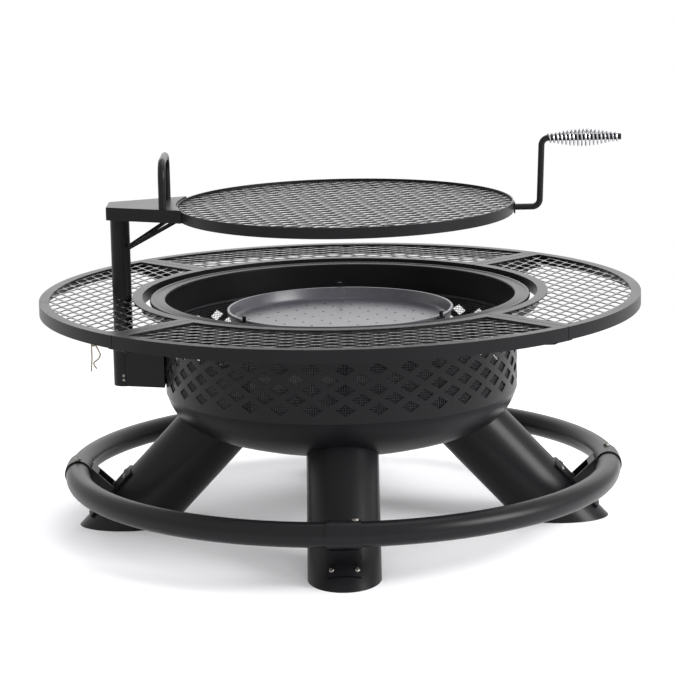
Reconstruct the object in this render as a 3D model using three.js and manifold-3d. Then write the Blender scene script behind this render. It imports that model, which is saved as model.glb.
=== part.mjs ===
// Garden fire pit with a ring table, a foot rail and a swinging cooking grill.
// Millimetres, +Z up. The origin is on the ground under the bowl's centre.
// +X points away from the grill's post, and the front leg points along -Y.
import * as THREE from "three";
import { mergeGeometries, mergeVertices } from "three/addons/utils/BufferGeometryUtils.js";
import Module from "manifold-3d";

const wasm = await Module();
wasm.setup();

// ---- Driving dimensions ----

const gap = 0.3; // between pieces that touch
const quarter = Math.PI / 2;

const bowl = {
  radius: 353, // outside of the wall
  sheet: 3,
  wallBottom: 276,
  rimTop: 466,
  facets: 70,
};
const rim = { radius: 380, sheet: 3, lipDrop: 9, lipSheet: 4, edge: 2 };
const lattice = {
  columns: 35,
  rows: 5,
  topRow: 381.5, // height of the top row's centres
  rowPitch: 19.5,
  halfWidth: 19,
  halfHeight: 11.5,
  turn: THREE.MathUtils.degToRad(1.2),
};
const screen = { sheet: 1, clearance: 0.7, bottom: 281, top: 410 };
const dish = {
  depth: 100,
  sheet: 3,
  seamInset: 1,
  facets: 48,
  // shares of the seam's radius and of the depth, then how far an offset moves the point out and down
  shape: [
    [0, 1, 0, 1],
    [0.52, 0.975, 0, 1],
    [0.7, 0.86, 0, 1],
    [0.84, 0.68, 0, 0.9],
    [0.935, 0.44, 0.5, 0.8],
    [0.98, 0.2, 1, 0],
    [1, 0, 1, 0],
  ],
};
const table = {
  outer: 600,
  inner: 395,
  top: 471,
  skirt: 25,
  sheet: 2.5,
  strip: 20,
  sideStrip: 21,
  seam: 1.5, // between two panels
  meshSheet: 3,
  facets: 48,
};
const arm = { width: 40, plate: 4, web: 26, padWidth: 56, padHeight: 45, endMargin: 8, bite: 1 };
const leg = {
  radius: 70,
  wall: 4,
  footRadius: 441.4, // where the leg's axis meets the ground
  tilt: THREE.MathUtils.degToRad(47), // from the ground
  sides: 24,
};
const rail = { radius: 535.8, height: 110.9, tube: 24, wall: 3, sides: 12, facets: 48 };
const bracket = {
  sleeveLength: 63,
  sleeveWall: 2.7,
  strutWidth: 53,
  strutWall: 4,
  saddleWidth: 64,
  saddleSheet: 5,
  saddleLow: -32, // along the leg, from where its axis meets the ground
  saddleHigh: 90,
};
const railBolt = { offset: 22, shank: 4, head: 7, headHeight: 4.5, length: 17, sides: 12 };
const post = {
  x: -436,
  radius: 19.2,
  wall: 3,
  bottom: 300,
  holes: 5, // heights that the pin can be set at
  holePitch: 30,
  sides: 20,
};
const sleeve = { bottom: 288, top: 384, clearance: 0.8, wall: 2.2 };
const gusset = { bottom: 289, top: 379, sheet: 3, wallHalfWidth: 48, setback: 4.2 };
const sleeveScrew = { heights: [301.5, 310.5], shank: 2, head: 3.6, headHeight: 2.2, sides: 8 };
const washer = { thickness: 3, radius: 27 };
const pin = { radius: 5, inner: 27, outer: 67, eye: 61, eyeRadius: 3, sides: 12, eyeSides: 8 };
const clipRing = { radius: 11, wire: 1.3, rise: 0.4, sides: 6, facets: 24 };
const hairpin = {
  wire: 1.4,
  length: 56,
  eye: 4.2,
  eyeSteps: 12,
  spread: 2.2,
  sides: 6,
  // distance out from the eye's centre, and share of the length
  wave: [
    [10.2, 0.3],
    [12.2, 0.42],
    [8.2, 0.56],
    [0, 0.68],
    [-1, 0.76],
    [4.2, 0.92],
  ],
};
const grill = {
  x: 13.3,
  radius: 335.4,
  sheet: 3,
  top: 651,
  height: 22,
  meshSheet: 3,
  meshDrop: 4,
  facets: 60,
};
const carrier = {
  top: 654,
  skirt: 26,
  sheet: 3,
  postEnd: 24, // beyond the post's axis
  postHalfWidth: 37.5,
  grillHalfWidth: 101,
};
const brace = { radius: 4, postHeight: 558, startY: 6, endY: 60, sides: 8 };
const liftHandle = {
  x: -345,
  radius: 7.5,
  halfSpan: 75,
  height: 97,
  bend: 32,
  bendSteps: 6,
  sides: 12,
};
const crank = {
  radius: 6.2,
  z: 634,
  elbowX: 401,
  gripZ: 771,
  gripX: 406,
  endX: 563,
  bend: 15,
  bendSteps: 5,
  plateSheet: 3,
  plateHeight: 22,
  plateWidth: 32,
  sides: 10,
};
const spring = {
  wireRadius: 2,
  turns: 18,
  bulge: 8.5,
  fullness: 0.8, // under 1 the coil swells sooner
  start: 418,
  end: 558,
  stepsPerTurn: 8,
  sides: 5,
};
const pan = {
  rimRadius: 227,
  rimTop: 439,
  rimBead: 3,
  wallRadius: 223,
  floorRadius: 212,
  floor: 415,
  corner: 5,
  taper: 2,
  edge: 1,
  sheet: 2,
  facets: 48,
};
const panLeg = { width: 25, sheet: 4, tabWidth: 9, tabRise: 9, azimuths: [90, 215, 330] };

// ---- Finishes ----

const finish = (color, roughness, metalness) => ({ color, roughness, metalness });
const blackPaint = finish(0x2a2a2d, 0.55, 0.35);
const darkPaint = finish(0x222225, 0.6, 0.3);
const meshPaint = finish(0x3a3a3e, 0.55, 0.4);
const greySteel = finish(0x8d8d93, 0.4, 0.8);
const zinc = finish(0xb9b4a6, 0.35, 0.9);
const brightSpring = finish(0xc9c9cc, 0.25, 0.95);

// ---- Solids ----

/** A manifold solid from a closed three.js geometry. */
function solid(geometry) {
  const bare = geometry.index ? geometry.toNonIndexed() : geometry.clone();
  bare.deleteAttribute("normal");
  bare.deleteAttribute("uv");
  const merged = mergeVertices(bare, 1e-4);
  return new wasm.Manifold(
    new wasm.Mesh({
      numProp: 3,
      vertProperties: merged.attributes.position.array,
      triVerts: new Uint32Array(merged.index.array),
    }),
  );
}

/** A three.js geometry with flat faces from a manifold solid. */
function geometryOf(made) {
  const mesh = made.getMesh();
  const indexed = new THREE.BufferGeometry();
  indexed.setAttribute("position", new THREE.BufferAttribute(mesh.vertProperties, 3));
  indexed.setIndex(new THREE.BufferAttribute(mesh.triVerts, 1));
  const flat = indexed.toNonIndexed();
  flat.computeVertexNormals();
  return flat;
}

/** A solid turned about Z from a closed profile of [radius, height] pairs. */
function turned(profile, facets) {
  const closed = [...profile, profile[0]].map(([r, z]) => new THREE.Vector2(r, z));
  const geometry = new THREE.LatheGeometry(closed, facets);
  geometry.rotateX(quarter);
  const made = solid(geometry);
  if (made.volume() > 0) return made;
  const reversed = new THREE.LatheGeometry(closed.reverse(), facets);
  reversed.rotateX(quarter);
  return solid(reversed);
}

/** A tube or ring about Z. */
function ring(inner, outer, low, high, facets) {
  return turned(
    [
      [inner, low],
      [outer, low],
      [outer, high],
      [inner, high],
    ],
    facets,
  );
}

/** An upright prism from a plan outline of [x, y] pairs. */
function prism(outline, low, high) {
  const shape = new THREE.Shape(outline.map(([x, y]) => new THREE.Vector2(x, y)));
  const geometry = new THREE.ExtrudeGeometry(shape, { depth: high - low, bevelEnabled: false });
  geometry.translate(0, 0, low);
  return solid(geometry);
}

/** A box from its low and high corners. */
function block(low, high) {
  const size = high.map((value, i) => value - low[i]);
  const geometry = new THREE.BoxGeometry(...size);
  geometry.translate(...low.map((value, i) => value + size[i] / 2));
  return solid(geometry);
}

/** A round bar between two points. */
function bar(from, to, radius, sides) {
  const start = new THREE.Vector3(...from);
  const along = new THREE.Vector3(...to).sub(start);
  const geometry = new THREE.CylinderGeometry(radius, radius, along.length(), sides);
  geometry.translate(0, along.length() / 2, 0);
  const up = new THREE.Vector3(0, 1, 0);
  geometry.applyQuaternion(new THREE.Quaternion().setFromUnitVectors(up, along.normalize()));
  geometry.translate(...from);
  return solid(geometry);
}

/** A path through fixed points, with a section at each one. */
class PointPath extends THREE.Curve {
  constructor(points) {
    super();
    this.points = points;
  }

  getPoint(t, target = new THREE.Vector3()) {
    const place = t * (this.points.length - 1);
    const index = Math.min(Math.floor(place + 1e-6), this.points.length - 2);
    return target.lerpVectors(this.points[index], this.points[index + 1], place - index);
  }

  getPointAt(u, target) {
    return this.getPoint(u, target);
  }

  getTangentAt(u, target = new THREE.Vector3()) {
    const index = Math.round(u * (this.points.length - 1));
    const before = this.points[Math.max(index - 1, 0)];
    const here = this.points[index];
    const after = this.points[Math.min(index + 1, this.points.length - 1)];
    const arriving = here.clone().sub(before).normalize();
    const leaving = after.clone().sub(here).normalize();
    return target.copy(arriving).add(leaving).normalize();
  }
}

/** A round wire or rod that follows a list of points. */
function wire(points, radius, sides) {
  const shape = new THREE.Shape(
    Array.from({ length: sides }, (_, i) => {
      const angle = (2 * Math.PI * i) / sides;
      return new THREE.Vector2(radius * Math.cos(angle), radius * Math.sin(angle));
    }),
  );
  const extrudePath = new PointPath(points);
  return solid(new THREE.ExtrudeGeometry(shape, { steps: points.length - 1, extrudePath }));
}

/** The points of a rod with rounded bends at its inner corners. */
function bent(corners, bend, cornerSteps) {
  const points = [corners[0]];
  for (let i = 1; i < corners.length - 1; i++) {
    const toBefore = corners[i - 1].clone().sub(corners[i]).normalize();
    const toAfter = corners[i + 1].clone().sub(corners[i]).normalize();
    const setback = bend / Math.tan(toBefore.angleTo(toAfter) / 2);
    const curve = new THREE.QuadraticBezierCurve3(
      corners[i].clone().addScaledVector(toBefore, setback),
      corners[i],
      corners[i].clone().addScaledVector(toAfter, setback),
    );
    points.push(...curve.getPoints(cornerSteps));
  }
  points.push(corners[corners.length - 1]);
  return points;
}

/** The quarter of the plan about +X, drawn in from its two seams. */
function quarterWedge(inset, low, high) {
  const apex = inset * Math.SQRT2;
  const reach = 2 * table.outer;
  return prism(
    [
      [apex, 0],
      [apex + reach, -reach],
      [apex + reach, reach],
    ],
    low,
    high,
  );
}

const turnedAboutZ = (made, angle) => made.rotate([0, 0, THREE.MathUtils.radToDeg(angle)]);
const shiftedAlongX = (made, x) => made.translate([x, 0, 0]);

// ---- Assembly ----

const firePit = new THREE.Group();
firePit.name = "fire_pit";

function place(name, made, look, angle = 0) {
  const mesh = new THREE.Mesh(geometryOf(made), new THREE.MeshStandardMaterial(look));
  mesh.name = name;
  mesh.rotation.z = angle;
  firePit.add(mesh);
}

const sides = [
  ["right", 0],
  ["back", quarter],
  ["left", 2 * quarter],
  ["front", 3 * quarter],
];
const corners = [
  ["back_right", 0],
  ["back_left", quarter],
  ["front_left", 2 * quarter],
  ["front_right", 3 * quarter],
];

// ---- Bowl ----

const wallInner = bowl.radius - bowl.sheet;
const wallTop = bowl.rimTop - rim.sheet - gap;

function diamondCutters() {
  const reach = 12;
  const outline = new THREE.Shape([
    new THREE.Vector2(lattice.halfWidth, 0),
    new THREE.Vector2(0, lattice.halfHeight),
    new THREE.Vector2(-lattice.halfWidth, 0),
    new THREE.Vector2(0, -lattice.halfHeight),
  ]);
  const cutters = [];
  const pitch = (2 * Math.PI) / lattice.columns;
  for (let row = 0; row < lattice.rows; row++) {
    for (let column = 0; column < lattice.columns; column++) {
      const cutter = new THREE.ExtrudeGeometry(outline, { depth: 2 * reach, bevelEnabled: false });
      cutter.rotateX(quarter);
      cutter.translate(0, bowl.radius + reach, lattice.topRow - row * lattice.rowPitch);
      cutter.rotateZ((column + (row % 2) / 2) * pitch + 2 * quarter);
      cutters.push(cutter);
    }
  }
  return solid(mergeGeometries(cutters));
}

function bowlWall() {
  const shell = ring(wallInner, bowl.radius, bowl.wallBottom, wallTop, bowl.facets);
  return turnedAboutZ(shell.subtract(diamondCutters()), lattice.turn);
}

function bowlRim() {
  const { radius, sheet, lipDrop, lipSheet, edge } = rim;
  const top = bowl.rimTop;
  return turned(
    [
      [wallInner, top - sheet],
      [radius - lipSheet, top - sheet],
      [radius - lipSheet, top - lipDrop],
      [radius - edge, top - lipDrop],
      [radius, top - lipDrop + edge],
      [radius, top - edge],
      [radius - edge, top],
      [wallInner + edge, top],
      [wallInner, top - edge],
    ],
    bowl.facets,
  );
}

const dishSeam = bowl.radius - dish.seamInset;

/** The dish's outer profile from its centre up to the seam, moved outwards by an offset. */
function dishProfile(offset) {
  const top = bowl.wallBottom - gap;
  return dish.shape.map(([radiusShare, depthShare, outward, downward]) => [
    dishSeam * radiusShare + offset * outward,
    top - dish.depth * depthShare - offset * downward,
  ]);
}

function bowlBase() {
  return turned([...dishProfile(0), ...dishProfile(-dish.sheet).reverse()], dish.facets);
}

function sparkScreen() {
  const outer = wallInner - screen.clearance;
  return ring(outer - screen.sheet, outer, screen.bottom, screen.top, bowl.facets);
}

place("bowl_wall", bowlWall(), blackPaint);
place("bowl_rim", bowlRim(), blackPaint);
place("bowl_base", bowlBase(), blackPaint);
place("spark_screen", sparkScreen(), darkPaint);

// ---- Charcoal pan ----

function charcoalPan() {
  const { rimRadius, rimTop, rimBead, wallRadius, floorRadius, floor } = pan;
  const { corner, taper, edge, sheet } = pan;
  const beadLow = rimTop - 2 * rimBead;
  return turned(
    [
      [0, floor - sheet],
      [floorRadius, floor - sheet],
      [wallRadius - taper, floor + corner],
      [wallRadius, beadLow],
      [rimRadius, beadLow + edge],
      [rimRadius, rimTop - edge],
      [rimRadius - edge, rimTop],
      [wallRadius - sheet, rimTop],
      [wallRadius - sheet - edge, floor + corner + sheet],
      [floorRadius - edge, floor],
      [0, floor],
    ],
    pan.facets,
  );
}

/** The height of the dish's inner face at a radius. */
function dishFloor(radius) {
  const inner = dishProfile(-dish.sheet);
  const next = inner.findIndex(([r]) => r >= radius);
  const [r0, z0] = inner[next - 1];
  const [r1, z1] = inner[next];
  return z0 + ((z1 - z0) * (radius - r0)) / (r1 - r0);
}

function panLegSolid() {
  const inner = pan.rimRadius + gap;
  const outer = inner + panLeg.sheet;
  const foot = dishFloor(outer) + gap;
  const half = panLeg.width / 2;
  const shoulder = pan.rimTop - pan.sheet;
  const upright = block([inner, -half, foot], [outer, half, shoulder]);
  const halfTab = panLeg.tabWidth / 2;
  const tabTop = pan.rimTop + panLeg.tabRise;
  const tab = block([inner, -halfTab, shoulder - pan.sheet], [outer, halfTab, tabTop]);
  return upright.add(tab);
}

place("charcoal_pan", charcoalPan(), greySteel);
panLeg.azimuths.forEach((azimuth, i) => {
  place(`pan_leg_${i + 1}`, panLegSolid(), darkPaint, THREE.MathUtils.degToRad(azimuth));
});

// ---- Legs ----

const legAxis = new THREE.Vector3(-Math.cos(leg.tilt), 0, Math.sin(leg.tilt));
const legNormal = new THREE.Vector3(Math.sin(leg.tilt), 0, Math.cos(leg.tilt));

/** Puts a solid made about its own Z in line with the leg at azimuth 0. */
function alongLeg(made) {
  const tilt = THREE.MathUtils.radToDeg(leg.tilt) - 90;
  return shiftedAlongX(made.rotate([0, tilt, 0]), leg.footRadius);
}

function legSolid() {
  const reach = 340;
  const start = -2 * leg.radius;
  const tube = alongLeg(ring(leg.radius - leg.wall, leg.radius, start, reach, leg.sides));
  const ground = block([0, -2 * leg.radius, -3 * leg.radius], [2 * leg.footRadius, 2 * leg.radius, 0]);
  const above = bowl.wallBottom + 2 * leg.radius;
  const filled = turned([...dishProfile(gap), [dishSeam + gap, above], [0, above]], dish.facets);
  return tube.subtract(ground).subtract(filled);
}

// ---- Foot rail ----

const torus = (tube) =>
  solid(new THREE.TorusGeometry(rail.radius, tube, rail.sides, rail.facets)).translate([
    0,
    0,
    rail.height,
  ]);

function railBoltHole() {
  const { offset, shank, sides } = railBolt;
  const top = rail.height + 2 * rail.tube;
  return bar([rail.radius, offset, rail.height], [rail.radius, offset, top], shank + gap, sides);
}

function railSolid() {
  const tube = torus(rail.tube).subtract(torus(rail.tube - rail.wall));
  const wedge = quarterWedge(gap, 0, 4 * rail.height);
  const fromLeg = turnedAboutZ(wedge, quarter / 2);
  return tube.intersect(fromLeg).subtract(railBoltHole());
}

function railBracket() {
  const bore = rail.tube + gap;
  const outside = bore + bracket.sleeveWall;
  const half = bracket.sleeveLength / 2;
  const low = [rail.radius - 2 * outside, -half, rail.height - 2 * outside];
  const high = [rail.radius + 2 * outside, half, rail.height + 2 * outside];
  const tube = torus(outside).intersect(block(low, high));
  const toRail = new THREE.Vector3(rail.radius - leg.footRadius, 0, rail.height);
  const distance = toRail.dot(legNormal);
  const level = toRail.dot(legAxis);
  const inner = leg.radius + gap;
  const saddleOuter = inner + bracket.saddleSheet;
  const { saddleLow, saddleHigh, strutWidth, strutWall, saddleWidth } = bracket;
  const saddle = ring(inner, saddleOuter, saddleLow, saddleHigh, leg.sides).intersect(
    block([0, -saddleWidth / 2, saddleLow - 1], [2 * inner, saddleWidth / 2, saddleHigh + 1]),
  );
  const halfStrut = strutWidth / 2;
  const strut = block(
    [inner, -halfStrut, level - halfStrut],
    [distance - outside / 2, halfStrut, level + halfStrut],
  );
  const tubeBehind = bar(
    [0, 0, saddleLow - strutWidth],
    [0, 0, saddleHigh + strutWidth],
    inner,
    leg.sides,
  );
  const hollow = block(
    [saddleOuter, -halfStrut + strutWall, level - halfStrut + strutWall],
    [distance - outside - strutWall, halfStrut - strutWall, level + strutWidth],
  );
  const inLeg = alongLeg(saddle.add(strut.subtract(tubeBehind)).subtract(hollow));
  return inLeg.add(tube).subtract(torus(bore)).subtract(railBoltHole());
}

function railBoltSolid() {
  const { offset, shank, head, headHeight, length, sides } = railBolt;
  const seat = rail.height + rail.tube + gap + bracket.sleeveWall + gap;
  const x = rail.radius;
  const stem = bar([x, offset, seat - length], [x, offset, seat + headHeight / 2], shank, sides);
  const cap = bar([x, offset, seat], [x, offset, seat + headHeight], head, sides);
  return stem.add(cap);
}

for (const [side, angle] of sides) {
  place(`leg_${side}`, legSolid(), blackPaint, angle);
  place(`rail_bracket_${side}`, railBracket(), blackPaint, angle);
  place(`rail_bolt_${side}`, railBoltSolid(), zinc, angle);
}
for (const [corner, angle] of corners) {
  place(`foot_rail_${corner}`, railSolid(), blackPaint, angle);
}

// ---- Table ----

const postHoleClearance = 5;
const meshTop = table.top - table.sheet - gap;
const skirtBottom = table.top - table.skirt;

function tableFrame() {
  const { inner, outer, top, sheet, strip, sideStrip, seam, facets } = table;
  const slab = ring(inner, outer, skirtBottom, top, facets);
  const pocket = ring(inner + sheet, outer - sheet, skirtBottom - 1, top - sheet, facets);
  const window = ring(inner + strip, outer - strip, skirtBottom - 1, top + 1, facets);
  const low = skirtBottom - 2;
  const high = top + 2;
  return slab
    .intersect(quarterWedge(seam / 2, low, high))
    .subtract(pocket.intersect(quarterWedge(seam / 2 + sheet, low, high)))
    .subtract(window.intersect(quarterWedge(seam / 2 + sideStrip, low, high)));
}

function tableMesh(side) {
  const { inner, outer, sheet, seam, meshSheet, facets } = table;
  const low = meshTop - meshSheet;
  const inside = sheet + gap;
  const wedge = quarterWedge(seam / 2 + inside, low - 1, meshTop + 1);
  const plate = ring(inner + inside, outer - inside, low, meshTop, facets).intersect(wedge);
  if (side !== "left") return plate;
  const hole = post.radius + postHoleClearance;
  return plate.subtract(bar([-post.x, 0, low - 1], [-post.x, 0, meshTop + 1], hole, post.sides));
}

function tableArm() {
  const top = skirtBottom - gap;
  const start = bowl.radius + gap;
  const end = table.outer - arm.endMargin;
  const half = arm.width / 2;
  const halfPad = arm.padWidth / 2;
  const plate = block([start, -half, top - arm.plate], [end, half, top]);
  const pad = block([start, -halfPad, top - arm.padHeight], [start + arm.plate, halfPad, top]);
  const web = new THREE.ExtrudeGeometry(
    new THREE.Shape([
      new THREE.Vector2(start + arm.bite, top - arm.bite),
      new THREE.Vector2(start + arm.bite, top - arm.padHeight + arm.bite),
      new THREE.Vector2(end - arm.web, top - arm.web / 2),
      new THREE.Vector2(end - arm.bite, top - arm.bite),
    ]),
    { depth: arm.plate, bevelEnabled: false },
  );
  web.rotateX(quarter);
  web.translate(0, arm.plate / 2, 0);
  return plate.add(pad).add(solid(web));
}

for (const [side, angle] of sides) {
  place(`table_frame_${side}`, tableFrame(), blackPaint, angle);
  place(`table_mesh_${side}`, tableMesh(side), meshPaint, angle);
}
for (const [corner, angle] of corners) {
  place(`table_arm_${corner}`, tableArm(), blackPaint, angle + quarter / 2);
}

// ---- Post sleeve on the bowl ----

const sleeveInner = post.radius + sleeve.clearance;
const sleeveOuter = sleeveInner + sleeve.wall;

/** A round bar along Y at the post's axis. */
const acrossPost = (height, from, to, radius) =>
  bar([post.x, from, height], [post.x, to, height], radius, sleeveScrew.sides);

function sleeveScrewSolid(height) {
  const { shank, head, headHeight } = sleeveScrew;
  const face = -sleeveOuter - gap;
  const stem = acrossPost(height, face - headHeight / 2, -sleeveInner - gap, shank);
  return stem.add(acrossPost(height, face - headHeight, face, head));
}

function postSleeve() {
  const upright = ring(sleeveInner, sleeveOuter, sleeve.bottom, sleeve.top, post.sides);
  return sleeveScrew.heights.reduce(
    (made, height) =>
      made.subtract(acrossPost(height, -2 * sleeveOuter, 0, sleeveScrew.shank + gap)),
    shiftedAlongX(upright, post.x),
  );
}

function sleeveBracket() {
  const { bottom, top, sheet, wallHalfWidth, setback } = gusset;
  const wallX = -bowl.radius - gap;
  const nearX = post.x + setback;
  const nearHalf = sleeveOuter + gap;
  const outer = prism(
    [
      [nearX, -nearHalf - sheet],
      [wallX, -wallHalfWidth],
      [wallX, wallHalfWidth],
      [nearX, nearHalf + sheet],
    ],
    bottom,
    top,
  );
  const inner = prism(
    [
      [nearX - 1, -nearHalf],
      [wallX - sheet, -wallHalfWidth + sheet],
      [wallX - sheet, wallHalfWidth - sheet],
      [nearX - 1, nearHalf],
    ],
    bottom - 1,
    top + 1,
  );
  return outer.subtract(inner);
}

place("post_sleeve", postSleeve(), blackPaint);
place("sleeve_bracket", sleeveBracket(), blackPaint);
sleeveScrew.heights.forEach((height, i) => {
  place(`sleeve_screw_${i + 1}`, sleeveScrewSolid(height), zinc);
});

// ---- Post, washer and height pin ----

const washerTop = sleeve.top + gap + washer.thickness;
const pinHeight = washerTop + gap + pin.radius;
const carrierUnder = carrier.top - carrier.sheet;

function thrustWasher() {
  const low = sleeve.top + gap;
  return shiftedAlongX(ring(sleeveInner, washer.radius, low, washerTop, post.sides), post.x);
}

function postSolid() {
  const { x, radius, wall, bottom, holes, holePitch } = post;
  const reach = 2 * radius;
  let made = shiftedAlongX(ring(radius - wall, radius, bottom, carrierUnder - gap, post.sides), x);
  for (let i = 0; i < holes; i++) {
    const z = pinHeight + i * holePitch;
    made = made.subtract(bar([x - reach, 0, z], [x + reach, 0, z], pin.radius + gap, pin.sides));
  }
  return made;
}

function heightPin() {
  const outer = post.x - pin.outer;
  const rod = bar([outer, 0, pinHeight], [post.x + pin.inner, 0, pinHeight], pin.radius, pin.sides);
  const eyeX = post.x - pin.eye;
  const reach = 2 * pin.radius;
  const from = [eyeX, -reach, pinHeight];
  const to = [eyeX, reach, pinHeight];
  return rod.subtract(bar(from, to, pin.eyeRadius, pin.eyeSides));
}

const ringCentre = pinHeight - clipRing.radius + clipRing.rise;

function pinRing() {
  const { radius, wire: thickness, sides, facets } = clipRing;
  const geometry = new THREE.TorusGeometry(radius, thickness, sides, facets);
  geometry.rotateY(quarter);
  geometry.translate(post.x - pin.eye, 0, ringCentre);
  return solid(geometry);
}

/** An R-shaped clip: one straight leg, an eye, and one leg with a wave. */
function hairpinClip() {
  const { eye, eyeSteps, length, spread, wave, sides } = hairpin;
  const x = post.x - pin.eye;
  const ringBottom = ringCentre - clipRing.radius;
  const eyeZ = ringBottom - clipRing.wire - hairpin.wire - gap + eye;
  const points = [
    new THREE.Vector3(x - eye - spread, -spread, eyeZ - length),
    new THREE.Vector3(x - eye, -spread, eyeZ - length / 2),
  ];
  for (let i = 0; i <= eyeSteps; i++) {
    const angle = Math.PI - (3 * Math.PI * i) / eyeSteps;
    const y = -spread + (2 * spread * i) / eyeSteps;
    points.push(new THREE.Vector3(x + eye * Math.cos(angle), y, eyeZ + eye * Math.sin(angle)));
  }
  for (const [dx, share] of wave) {
    points.push(new THREE.Vector3(x + dx, spread, eyeZ - share * length));
  }
  return wire(points, hairpin.wire, sides);
}

place("thrust_washer", thrustWasher(), zinc);
place("post", postSolid(), blackPaint);
place("height_pin", heightPin(), zinc);
place("pin_ring", pinRing(), zinc);
place("hairpin_clip", hairpinClip(), zinc);

// ---- Grill carrier ----

const grillRim = grill.radius + gap;

/** Points on an arc about the grill's centre, from one side of the carrier to the other. */
function grillArc(radius, halfWidth) {
  const span = Math.asin(halfWidth / radius);
  const steps = 10;
  return Array.from({ length: steps + 1 }, (_, i) => {
    const angle = Math.PI - span + (2 * span * i) / steps;
    return [grill.x + radius * Math.cos(angle), radius * Math.sin(angle)];
  });
}

function carrierPlate() {
  const { top, skirt, sheet, postEnd, postHalfWidth, grillHalfWidth } = carrier;
  const end = post.x - postEnd;
  const arcStart = grillArc(grillRim, grillHalfWidth);
  const slope = (grillHalfWidth - postHalfWidth) / (arcStart[0][0] - end);
  const inset = sheet * Math.hypot(1, slope);
  const innerHalf = grillHalfWidth - inset - slope * sheet;
  const outer = prism(
    [[end, -postHalfWidth], ...arcStart.slice().reverse(), [end, postHalfWidth]],
    top - skirt,
    top,
  );
  const innerEnd = [end + sheet, postHalfWidth - inset + slope * sheet];
  const inner = prism(
    [
      [innerEnd[0], -innerEnd[1]],
      ...grillArc(grillRim + sheet, innerHalf).reverse(),
      [innerEnd[0], innerEnd[1]],
    ],
    top - skirt - 1,
    carrierUnder,
  );
  return outer.subtract(inner);
}

function braceRod(side) {
  const { radius, postHeight, startY, endY, sides } = brace;
  const endX = grill.x - Math.sqrt(grillRim ** 2 - endY ** 2) - carrier.sheet / 2;
  const endZ = carrier.top - carrier.skirt;
  const start = new THREE.Vector3(post.x, side * startY, postHeight);
  const end = new THREE.Vector3(endX, side * endY, endZ);
  const direction = end.clone().sub(start);
  const overrun = 1.2;
  const beyond = start.clone().addScaledVector(direction, overrun);
  const rod = bar(start.toArray(), beyond.toArray(), radius, sides);
  const around = bar([post.x, 0, 0], [post.x, 0, carrier.top], post.radius + gap, post.sides);
  const cap = block([post.x, -grill.radius, endZ - gap], [grill.x, grill.radius, endZ + skirtBottom]);
  return rod.subtract(around).subtract(cap);
}

function liftHandleSolid() {
  const { x, radius, halfSpan, height, bend, bendSteps, sides } = liftHandle;
  const low = carrier.top + gap;
  const high = low + height - radius;
  const corners = [
    new THREE.Vector3(x, -halfSpan, low),
    new THREE.Vector3(x, -halfSpan, high),
    new THREE.Vector3(x, halfSpan, high),
    new THREE.Vector3(x, halfSpan, low),
  ];
  return wire(bent(corners, bend, bendSteps), radius, sides);
}

place("grill_carrier", carrierPlate(), blackPaint);
place("brace_rod_front", braceRod(-1), blackPaint);
place("brace_rod_back", braceRod(1), blackPaint);
place("lift_handle", liftHandleSolid(), blackPaint);

// ---- Grill ----

function grillRing() {
  const { radius, sheet, top, height, x, facets } = grill;
  return shiftedAlongX(ring(radius - sheet, radius, top - height, top, facets), x);
}

function grillMesh() {
  const { radius, sheet, top, meshSheet, meshDrop, x, facets } = grill;
  const high = top - meshDrop;
  return bar([x, 0, high - meshSheet], [x, 0, high], radius - sheet - gap, facets);
}

function handlePlate() {
  const { z, plateSheet, plateHeight, plateWidth } = crank;
  const face = grill.x + grill.radius + gap;
  return block(
    [face, -plateWidth / 2, z - plateHeight / 2],
    [face + plateSheet, plateWidth / 2, z + plateHeight / 2],
  );
}

function crankHandle() {
  const { radius, z, elbowX, gripZ, gripX, endX, bend, bendSteps, plateSheet, sides } = crank;
  const start = grill.x + grill.radius + gap + plateSheet + gap;
  const corners = [
    new THREE.Vector3(start, 0, z),
    new THREE.Vector3(elbowX, 0, z),
    new THREE.Vector3(gripX, 0, gripZ),
    new THREE.Vector3(endX, 0, gripZ),
  ];
  return wire(bent(corners, bend, bendSteps), radius, sides);
}

function springGrip() {
  const { wireRadius, turns, bulge, fullness, start, end, stepsPerTurn, sides } = spring;
  const seat = crank.radius + gap + wireRadius;
  const steps = turns * stepsPerTurn;
  const cornerReach = 1 / Math.cos(Math.PI / stepsPerTurn);
  const points = Array.from({ length: steps + 1 }, (_, i) => {
    const share = i / steps;
    const radius = cornerReach * (seat + bulge * Math.sin(Math.PI * share) ** fullness);
    const angle = 2 * Math.PI * turns * share;
    const x = start + (end - start) * share;
    return new THREE.Vector3(x, radius * Math.cos(angle), crank.gripZ + radius * Math.sin(angle));
  });
  return wire(points, wireRadius, sides);
}

place("grill_ring", grillRing(), blackPaint);
place("grill_mesh", grillMesh(), meshPaint);
place("handle_plate", handlePlate(), blackPaint);
place("crank_handle", crankHandle(), blackPaint);
place("spring_grip", springGrip(), brightSpring);

export default firePit;
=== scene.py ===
"""The looks of a garden fire pit with a ring table, a foot rail and a swinging grate.

Sizes are in millimetres in the classes below, and each finished mesh is scaled to metres.
"""

from __future__ import annotations

import logging
import math
from dataclasses import dataclass, field
from enum import Enum
from typing import Any, Iterable, Sequence

import bmesh
import bpy
from mathutils import Matrix, Vector

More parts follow.
